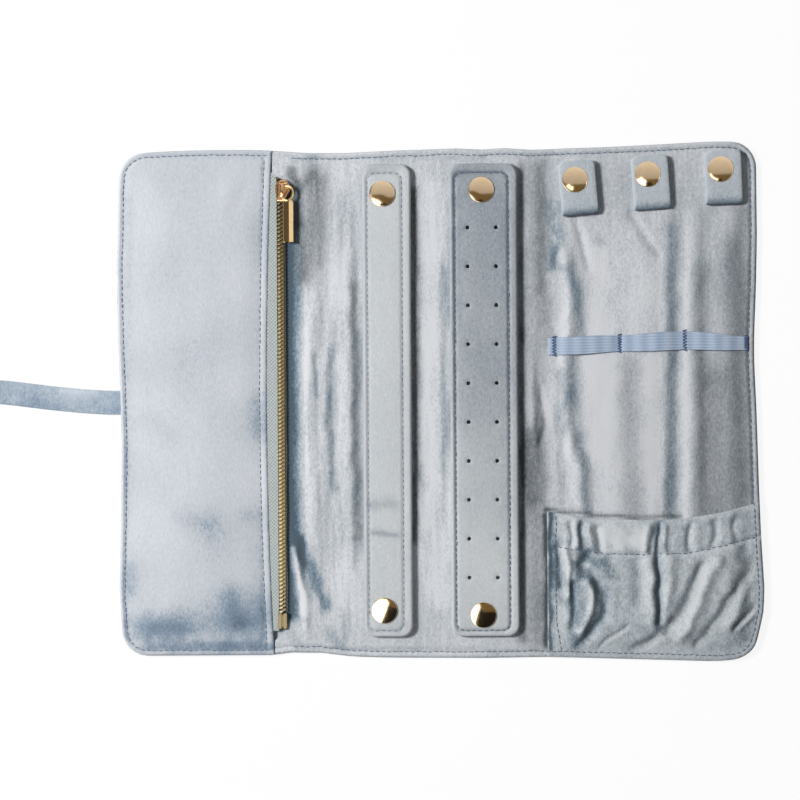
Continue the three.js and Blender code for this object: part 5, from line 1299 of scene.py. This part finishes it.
def makeBar(kind, bar):
    ends = np.array([0, 0.05, 0.2, 0.5, 0.9, 1.4, 2, 2.7, 3.4, 4.2, 5, 5.8, 7])
    y = stations(barShape["low"] + ends, barShape["top"] - ends, evenSteps(-102, 105, 0.95))
    sides = np.array([0, 0.03, 0.12, 0.3, 0.6, 1.0, 1.5, 2.1, 2.4, 2.8, 3.4]) * 2 / bar["wide"]
    inside = 1 - 3.9 * 2 / bar["wide"]
    share = stations(sides - 1, 1 - sides, evenSteps(-inside, inside, 1.15 / bar["wide"]))
    gx, gy = bar["x"] + barOutline(y, bar["wide"])[:, None] * share[None], columns(y, share)
    box = bar["x"] - bar["wide"] / 2, bar["x"] + bar["wide"] / 2, barShape["low"], barShape["top"]
    inset = np.maximum(insetOf(gx, gy, *box, barShape["corner"]) - drawIn(gy), 0)
    seam = seamInset(bar, gx, gy)
    top = barShape["rimZ"] + barShape["rise"] * rounded(inset / barShape["lip"])
    top += barShape["crown"] * smooth(0.5, 6, seam)
    top -= dent(seam, *barShape["seamDent"]) * smooth(0.8, 1.8, inset)
    top += 0.05 * wander(gx, gy, 12, 51) + dent(seam, *barShape["pucker"]) * wander(gx * 0.3, gy, 3.5, 52)
    low = barShape["rimZ"] - barShape["drop"] * rounded(inset / barShape["underLip"])
    piece = padPiece(kind + "Bar", gx, gy, top, low, cloths["bar"], "velvet")
    x, y, z = placesOf(piece.data).T
    sewn = (seamInset(bar, x, y) < barShape["seamHold"]) | (z < barShape["rimZ"])
    puff(piece, sewn, barShape["pressure"], barShape["swell"])
    return piece


def punchHoles(piece):  # twenty small round holes, their edges drawn in
    rows = earHoles["first"] + earHoles["pitch"] * np.arange(earHoles["rows"])
    holes = np.array([(earHoles["x"] + side * earHoles["apart"] / 2, y) for side in (-1, 1) for y in rows])
    co = placesOf(piece.data)
    near = np.min(np.hypot(co[:, None, 0] - holes[None, :, 0], co[:, None, 1] - holes[None, :, 1]), 1)
    co[:, 2] -= np.where(co[:, 2] > earHoles["above"], dent(near, *earHoles["dent"]), 0)
    setPlaces(piece.data, co)
    rod, sides = earHoles["rod"], earHoles["sides"]
    rods = [(turnedPoints(rod, (*hole, 0), sides), tubeFaces(len(rod), sides)) for hole in holes]
    cutter = makePiece("holeCutter", *joined(rods), cloths["tab"], "velvet", merge=1e-7)
    cut = piece.modifiers.new("holes", "BOOLEAN")
    cut.operation, cut.object, cut.solver = "DIFFERENCE", cutter, "EXACT"
    mesh = bpy.data.meshes.new_from_object(piece.evaluated_get(bpy.context.evaluated_depsgraph_get()))
    piece.modifiers.remove(cut)
    mesh.set_sharp_from_angle(angle=np.radians(40))
    piece.data = mesh
    bpy.data.objects.remove(cutter)


bars = {}
for kind, bar in barSet.items():
    bars[kind] = makeBar(kind, bar)
    if kind == "earring":
        punchHoles(bars[kind])
    x0, x1, y0, y1 = seamBox(bar)
    # painted shade in the channel of the sewn line
    seamShade = ([(x0, y0), (x0, y1), (x1, y1), (x1, y0), (x0, y0)], 0.65, -0.65)
    brush(bars[kind], bar["strokes"] + [seamShade], slope=0.5, base=bar["base"], patch=0.10, streak=0.03,
          seed=23)
    bent(bars[kind], ("middle", kind + "_bar_body"), barBend, kind + "_bar", kind + "_bar_anchor")
print("bars made")

# snaps and rivets, turned; each takes its place and height from its node
snap = {"cap": 6.0, "dome": 1.28, "capHigh": 1.5, "post": 1.8, "flange": 5.0, "flangeHigh": 0.5, "knob": 1.7,
        "knobHigh": 1.3, "stem": 1.2, "sides": 64}


def domeProfile(deep):  # a shallow ball of radius (cap^2 + dome^2) / (2 dome), rolled rim, on a post
    ball = (snap["cap"] ** 2 + snap["dome"] ** 2) / (2 * snap["dome"])
    r = np.linspace(0.004, 0.955, 20) * snap["cap"]
    top = placed(r, snap["capHigh"] - ball + np.sqrt(ball ** 2 - r ** 2))
    rim = np.array([(0.982, 0.24), (0.998, 0.15), (1, 0.06), (0.985, 0)]) * [snap["cap"], 1]
    return np.concatenate([top, rim, [(snap["post"], 0), (snap["post"], -deep), (0.02, -deep)]])


def studProfile(deep):  # stem, flange and knob
    knob, base, flange, stem = snap["knob"], snap["flangeHigh"], snap["flange"], snap["stem"]
    high = base + snap["knobHigh"]
    return np.array([(0.02, high), (0.55 * knob, high), (0.85 * knob, high - 0.12), (knob, high - 0.5),
                     (0.92 * knob, high - 0.8), (0.78 * knob, base + 0.2), (0.85 * knob, base + 0.04),
                     (0.9 * flange, base), (flange, 0.7 * base), (flange, 0.3 * base), (0.95 * flange, 0),
                     (stem, 0), (stem, -deep), (0.02, -deep)])


def ringProfile(high):  # a socket: a flat ring with a rolled bore
    return np.array([(2.1, 0), (2.0, 0.5), (2.1, 1), (2.8, 1), (4.6, 0.93), (4.8, 0.6), (4.7, 0.2),
                     (4.3, 0.02), (2.9, 0), (2.5, 0.12)]) * [1, high]


def backProfile(high):  # a rivet's washer
    return np.array([(0.02, 1), (4.3, 1), (4.9, 0.8), (5.0, 0.5), (4.8, 0.1), (4.2, 0), (1.6, 0), (1.3, 0.25),
                     (0.02, 0.25)]) * [1, high]


def turnedPiece(node, name, profileOf, above, material, closed=False):
    # above is from the seat to the node's top; with 0 the seat is the node's foot
    low, high = (np.array(corner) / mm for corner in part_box(node))
    seat = high[2] - above if above else low[2]
    shape = profileOf(seat - low[2] if above else high[2] - low[2])
    points = turnedPoints(shape, (*((low + high) / 2)[:2], seat), snap["sides"])
    faces = quads(len(shape), snap["sides"], closeCols=True, closeRows=closed)
    piece = makePiece(name, points, faces, material, "snap_gold", merge=1e-5, sharp=60)
    carried(piece, body_of(frame["nodes"][node])[0], node)


tabNumbers = (1, 2, 3)
capMake = domeProfile, snap["capHigh"], capGold
snapParts = {"cap": capMake, "stud": (studProfile, snap["flangeHigh"] + snap["knobHigh"], steel),
             "socket": (ringProfile, 0, steel, True)}
for part, make in snapParts.items():
    for kind in barSet:
        name = kind + ("SnapCap" if part == "cap" else part.title())
        turnedPiece(kind + "_snap_" + part, name, *make)
        if part == "cap":
            turnedPiece(kind + "_rivet_cap", kind + "RivetCap", *make)
    for n in tabNumbers:
        turnedPiece("necklace_tab_%d_%s" % (n, part), "tab%s%d" % (part.title(), n), *make)
for kind in barSet:
    turnedPiece(kind + "_rivet_back", kind + "RivetBack", backProfile, 0, steel)
print("snaps made")

# necklace tabs: a strap doubled back on itself, the loop at its low end
tabSet = {"wide": 17.0, "thick": 1.5, "baseZ": 4.8, "strapZ": 8.35, "droop": 3.6, "taper": 0.35, "corner": 3,
          "x": (65.3, 99.3, 133.3), "fold": (89.9, 92.2, 94.4), "end": (112.9, 115.2, 117.4),
          "lean": (5, 4, 2)}
tabBend = dict(start=(0, 0, 0.0058), end=(0, 0, 0.0075))  # a tab turns in its loop


def tabStrap(x, fold, end, lean):  # under, round the loop and back above; the free end has round corners
    baseZ, radius = tabSet["baseZ"], (tabSet["strapZ"] - tabSet["baseZ"]) / 2
    fold = fold + tabSet["droop"] - radius
    turn = np.linspace(0, np.pi, 25)[1:-1]
    back = stations(evenSteps(fold, end - 3.4, 0.9), end - np.array([3, 2.4, 1.8, 1.2, 0.7, 0.3, 0.1, 0]))
    path = np.concatenate([
        placed(x, np.linspace(end - 0.8, fold, 22), baseZ),
        placed(x, fold - tabSet["droop"] * np.sin(turn), baseZ + radius - radius * np.cos(turn)),
        placed(x, back, tabSet["strapZ"])])
    toEnd = np.where(np.arange(len(path)) > 40, end - path[:, 1], 99)
    path[:, 0] -= np.sin(lean) * (path[:, 1] - (fold + end) / 2)
    section = strapSection(tabSet["wide"], tabSet["thick"], 9, 2.4)
    widths = 1 - tabSet["taper"] * (1 - rounded(toEnd / tabSet["corner"]))
    return sweepStrap(path, (np.cos(lean), np.sin(lean), 0), section, widths)


for n, x, fold, end, lean in zip(tabNumbers, *(tabSet[key] for key in ("x", "fold", "end", "lean"))):
    tab = makePiece("necklaceTab%d" % n, *tabStrap(x, fold, end, np.radians(lean)), cloths["tab"], "velvet")
    # painted shade on the loop's lower side, which faces away from the light, and painted light on faces
    # turned up the picture
    brush(tab, slope=1.0, toTop=2.3, base=0.15, patch=0.25, streak=0.04, seed=60 + n)
    bent(tab, ("right_panel", "necklace_tab_%d" % n), tabBend,
         "necklace_tab_%d_base" % n, "necklace_tab_%d_strap" % n)
print("tabs made")

# elastic: a ribbed band sewn down at four tacks, easing up between them
elastic = {"middle": (26.1, 27.0, 28.0, 26.4), "half": (4.15, 3.8, 4.25, 3.2), "x0": 51.0, "x1": 146.5,
           "tacks": (53.9, 84.5, 115.0, 145.6), "rise": 1.5, "thick": 0.8, "ribs": 6, "ribHigh": 0.12,
           "probes": (24.5, 27.5, 30.5), "least": 4.35, "clear": 0.5, "drawn": (0.06, 1.6),
           "rim": 0.06, "endRim": 0.5, "swell": 0.25, "thread": 0.32, "zigzag": 0.75, "dip": 0.5}
tacks = np.array(elastic["tacks"])


def elasticRun(x):  # middle and half width of the band at x, eased between the tacks
    part = np.interp(x, tacks, np.arange(4.0))
    part = np.floor(part) + smooth(0, 1, part - np.floor(part))
    middle, half = (np.interp(part, np.arange(4), elastic[key]) for key in ("middle", "half"))
    return middle, half + elastic["swell"] * np.abs(np.sin(np.pi * part))


def makeElastic():
    x, across = evenSteps(elastic["x0"], elastic["x1"], 0.8), np.linspace(-1, 1, 49)
    lift = elastic["rise"] * np.abs(np.sin(np.pi * np.interp(x, tacks, np.arange(4)))) ** 0.8
    find = surfaceUnder(liningRight)
    ground = np.array([[find(a, b)[3] for b in elastic["probes"]] for a in x]).max(1)
    ground = np.convolve(np.pad(ground, 6, mode="edge"), np.ones(13) / 13, mode="valid")
    gx = columns(x, across)
    narrow = 1 - dent(np.min(np.abs(gx[..., None] - tacks), -1), *elastic["drawn"])
    middle, half = elasticRun(gx)
    gy = flared(gx, middle + across[None] * half * narrow)
    mid = np.maximum(ground, elastic["least"])[:, None] + elastic["clear"] + lift[:, None]
    endRim = rounded(np.minimum(gx - elastic["x0"], elastic["x1"] - gx) / elastic["endRim"])
    rim = rounded((1 - np.abs(across)) / elastic["rim"])[None] * endRim
    ribs = elastic["ribHigh"] * np.cos(np.pi * elastic["ribs"] * (across + 1))[None]
    wall = elastic["thick"] / 2 * rim
    top, low = mid + wall + ribs * rim, mid - wall
    return padPiece("elasticBand", *shaped(gx, gy), top, low, elasticCloth, "elastic")


def tackThread(tack, find):  # a zigzag thread over the band, dipping at both edges
    wave = np.linspace(-1.15, 1.15, 29)
    middle, half = elasticRun(tack)
    swing = elastic["zigzag"] * np.where(np.arange(len(wave)) % 4 < 2, 1, -1)
    line = eased(placed(tack + swing, flared(tack, middle + half * wave)), 1)
    line = placed(*shaped(*line.T))
    ends = flared(tack, np.array([middle - half + 0.6, middle + half - 0.6]))
    onBand = np.clip(line[:, 1], *ends)
    height = np.array([find(a, b)[3] for a, b in zip(line[:, 0], onBand)]) + 0.1
    path = placed(*line.T, height - elastic["dip"] * (line[:, 1] != onBand))
    return sweepStrap(path, (0, 0, 1), tubeSection(elastic["thread"], 6))


elasticBand = makeElastic()
carried(elasticBand, "right_panel", "elastic_band")
bandTop = surfaceUnder(elasticBand)
for n, tack in enumerate(tacks, 1):
    tackPiece = makePiece("elasticTack%d" % n, *tackThread(tack, bandTop), tackBlue, "thread")
    carried(tackPiece, "right_panel", "elastic_tack_%d" % n)
print("elastic made")

# gathered pocket: a full cloth front drawn in along its mouth, sewn at both sides and along the low edge
gather = {"x0": 50.1, "x1": 149.4, "baseZ": 4.75, "cloth": 1.0, "belly": 2.6, "cap": 11.0, "inset": 0.6,
          "least": 4.5, "ease": 3.0, "lip": (0.5, 0.8), "fullFrom": 0.55, "mouthRoll": 0.5,
          "casingDent": (0.75, 0.9), "uneven": (0.18, 9, 71), "roll": (0.5, 0.6), "rollAbove": 4.8}
mouthLine = [(49.2, -51.6), (51.5, -51.6), (70.7, -54.5), (95.1, -55.6), (112.9, -55.2), (132.6, -52.0),
             (148.5, -47.9), (154.6, -46.5)]
casingLine = [(52.3, -67.1), (58.0, -68.5), (79.1, -71.4), (98.7, -71.5), (115.6, -71.2), (125.9, -69.3),
              (148.4, -63.8)]
pocketDents = [  # line, width, depth
    ([(102.1, -57), (102, -74.4), (102.8, -103.5)], 1.7, 2.4),
    ([(69.2, -71.4), (65.4, -77.5), (72.4, -83.1), (77.5, -90.7), (76.5, -100.1), (70.4, -107.5),
      (65.2, -112.7)], 2.4, 1.8), ([(55.2, -68), (56, -86.3)], 1.5, 1.4),
    ([(63, -85), (62.5, -103.3)], 1.9, 1.6),
    ([(121.7, -77.3), (115.5, -93.7), (105.1, -106.8), (87.7, -117)], 2.2, 1.4),
    ([(146, -74.6), (138, -88.6), (121.5, -112)], 2.6, 1.1),
    ([(137.9, -105.1), (142.6, -100.4), (145.9, -95.7)], 1.4, 1),
    ([(72.7, -115.5), (87.3, -103.4)], 0.9, 0.6), ([(61.3, -56.3), (61.3, -67.1)], 1.2, 1),
    ([(66.5, -56.4), (66.9, -68.6)], 1.3, 1.1), ([(74, -59.2), (74.8, -70.5)], 1.5, 1),
    ([(117.1, -58), (117, -69.8)], 1.6, 1), ([(128.8, -55.8), (127.8, -67.5)], 1.6, 1),
    ([(138.2, -53.5), (137.7, -65.2)], 1.5, 0.8), ([(99.3, -57.9), (98.3, -70.6)], 1.2, 0.8),
    ([(93.6, -74.3), (91.6, -93.1)], 4, 0.7), ([(141.4, -67.6), (142.2, -93.3)], 2, 0.8),
    ([(131.9, -93.3), (141.3, -81.6)], 1.6, 0.6)]
pocketRidges = [
    ([(68.2, -85), (72.4, -90.2), (69.5, -99.1), (66.2, -105.6)], 1.6, 1.4),
    ([(58.9, -69.9), (59.7, -91.5)], 1.8, 1.3), ([(98.3, -74.4), (99, -102.5)], 2.2, 0.9),
    ([(107.6, -74.4), (106.6, -93.2)], 2.6, 0.8),
    ([(128.7, -74.5), (121.6, -93.2), (112.1, -109.6)], 2.6, 1.2),
    ([(142.7, -79.3), (139.4, -93.3), (134.6, -105)], 2.2, 0.9),
    ([(140.2, -106.5), (145.9, -99)], 1.3, 0.9), ([(63.7, -56.3), (64.1, -67.6)], 1.2, 0.7),
    ([(70.2, -57.3), (70.6, -69.5)], 1.6, 0.8), ([(97.4, -57.5), (96.4, -70.6)], 1.4, 0.8),
    ([(105.4, -57.5), (105.8, -70.6)], 1.5, 0.7)]
pocketStrokes = [  # drawn line, width, lean added: painted shade in dents and down the pocket's left edge, and a pale band in the casing
    ([(63, -85), (63.9, -103.3)], 3, -0.5), ([(74.8, -74.2), (79.5, -81.3)], 3, -0.5),
    ([(51.5, -55.3), (52.3, -74.1), (55.9, -92.9)], 3, -0.7), ([(66, -56.4), (66.8, -74.2)], 2.4, -0.8),
    ([(71.1, -74.2), (75.8, -74.2)], 3, -0.6), ([(51, -51.6), (51.4, -74.1), (51.1, -116.4)], 1.3, -1.6),
    ([(77.7, -63), (93.6, -64)], 5.5, 0.9)]
# painted grey shade in a dent and down the pocket's left edge
pocketGreyShades = [
    ([(104.1, -108.6), (106.5, -104.9), (109.3, -101.2)], 1.2, 0.5), ([(51, -51.6), (51.1, -116.4)], 1, 0.4)]


def marksOf(x, y, marks):  # dents or ridges along drawn lines
    return sum(amount * stroke(x, y, eased(line, 1, gather["ease"]), width) for line, width, amount in marks)


def gatheredTop(x, y, mouth, outer, left):
    below = mouth - y
    wx, wy = swayed(x, y, 0.8, 73)
    lipHigh, lipWide = gather["lip"]
    z = gather["baseZ"] + lipHigh * rounded(np.minimum(outer, left) / lipWide)
    full = smooth(2.5, 16, outer) * smooth(2.5, 14, left)
    z += gather["belly"] * full * (gather["fullFrom"] + (1 - gather["fullFrom"]) * smooth(4, 30, below))
    z += gather["mouthRoll"] * smooth(0, 3, below) * (1 - smooth(3, 8, below)) * smooth(2, 8, left)
    live = smooth(2.0, 7.5, outer) * smooth(2.5, 7, left) * smooth(-0.5, 5, below)
    z += live * (marksOf(wx, wy, pocketRidges) - marksOf(wx, wy, pocketDents))
    z -= dent(y - np.interp(x, *np.transpose(casingLine)), *gather["casingDent"]) * smooth(2, 6, left)
    amount, size, seed = gather["uneven"]
    z += amount * wander(x, y, size, seed) * live
    return np.clip(z, gather["baseZ"] - 0.05, gather["cap"])


def makeGatheredPocket():
    x = stations(gather["x0"] + np.array([0, 0.1, 0.4, 0.9, 1.5]), evenSteps(52, 138, 0.75),
                 gather["x1"] - np.array([0, 0.1, 0.4, 0.9, 1.5, 2.2, 3, 4, 5.2, 6.6, 8.2, 10, 11.4]))
    share = stations([0, 0.0015, 0.006, 0.013, 0.022], evenSteps(0.03, 0.975, 0.0115),
                     1 - np.array([0, 0.0012, 0.005, 0.011, 0.018]))
    mouth, foot = np.interp(x, *np.transpose(mouthLine)), -outlineHalf(x, gather["inset"])
    gx, gy = columns(x, share), foot[:, None] + (mouth - foot)[:, None] * share[None]
    outer, left = np.maximum(rimInset(gx, gy) - gather["inset"], 0), gx - gather["x0"]
    top = gatheredTop(gx, gy, mouth[:, None], outer, left)
    edge = np.minimum(np.minimum(outer, left), mouth[:, None] - gy)
    rollDeep, rollWide = gather["roll"]
    rolled = rollDeep * (1 - rounded(edge / rollWide)) * (top > gather["rollAbove"])
    turned = top - rolled  # the edges roll down
    low = np.minimum(np.maximum(top - gather["cloth"], gather["least"]), turned)
    return padPiece("gatheredPocket", *shaped(gx, gy), turned, low, cloths["pocket"], "lining_velvet")


gatheredPocket = makeGatheredPocket()
# painted shade in the deepest dents, painted highlight on the ridges, painted grey shade in the lower dents
shadedDents = [(line, width * 1.6, -0.9) for line, width, _ in pocketDents[:4]]
ridgeLight = [(line, width, 0.2) for line, width, _ in pocketRidges[:7]]
shadedGreyDents = [(line, width * 1.3, 0.22) for line, width, _ in pocketDents[4:7]]
brush(gatheredPocket, shadedDents + ridgeLight + pocketStrokes, slope=1.1, base=0.2, patch=0.12, streak=0.03,
      seed=75, sway=0.8, greyShadeSlope=0.9, greyShades=shadedGreyDents + pocketGreyShades)
carried(gatheredPocket, "right_panel", "gathered_pocket", "pocket_mouth_elastic")
print("gathered pocket made")

# stitching
seamIn = lining["seam"] + lining["inset"]
flapRim = rimPath(frontEdge(118.0) - 2, roll["leftEdge"], front["edgeSeam"] + front["inset"])
seamY = np.linspace(114.5, -114.5, 120)
zipSeam = placed(frontEdge(seamY) - front["zipSeam"], seamY)
flapStitch = sewLine("flapStitch", [flapRim, zipSeam], [pocketFront])
carried(flapStitch, "left_flap")
seamHalf = roll["half"] - seamIn
runs = [resampled([(-69.5, y), (roll["split"], y)], 1.0) for y in (seamHalf, -seamHalf)]
middleStitch = sewLine("middleStitch", [placed(*shaped(*run.T)) for run in runs], [liningLeft])
bent(middleStitch, ("left_flap", "middle"), leftBend)
rightRim = rimPath(roll["split"], roll["rightEdge"], seamIn)
rightStitch = sewLine("rightStitch", [rightRim], [liningRight, gatheredPocket])
bent(rightStitch, ("middle", "right_panel"), rightBend)
sideSeam = eased([(54.3, -53.0), (54.2, -74.1), (54.1, -92.9), (54.5, -104.6), (56.7, -116.9)], 2)
pocketStitch = sewLine("pocketStitch", [np.array(casingLine), sideSeam], [gatheredPocket])
carried(pocketStitch, "right_panel")


def seamLoop(bar):  # the sewn line of a bar: four quarter circles joined by straight runs
    x0, x1, y0, y1 = seamBox(bar)
    r, quarter = barShape["seamCorner"], np.linspace(0, np.pi / 2, 7)
    hubs = [(x1 - r, y1 - r), (x0 + r, y1 - r), (x0 + r, y0 + r), (x1 - r, y0 + r)]
    turns = [(hub, quarter + k * np.pi / 2) for k, hub in enumerate(hubs)]
    loop = np.concatenate([placed(cx + r * np.cos(t), cy + r * np.sin(t)) for (cx, cy), t in turns])
    return np.concatenate([loop, loop[:1]])


for kind, bar in barSet.items():
    stitch = sewLine(kind + "Stitch", [seamLoop(bar)], [bars[kind]], thick=0.62)
    bent(stitch, ("middle", kind + "_bar_body"), barBend)
print("stitches made")
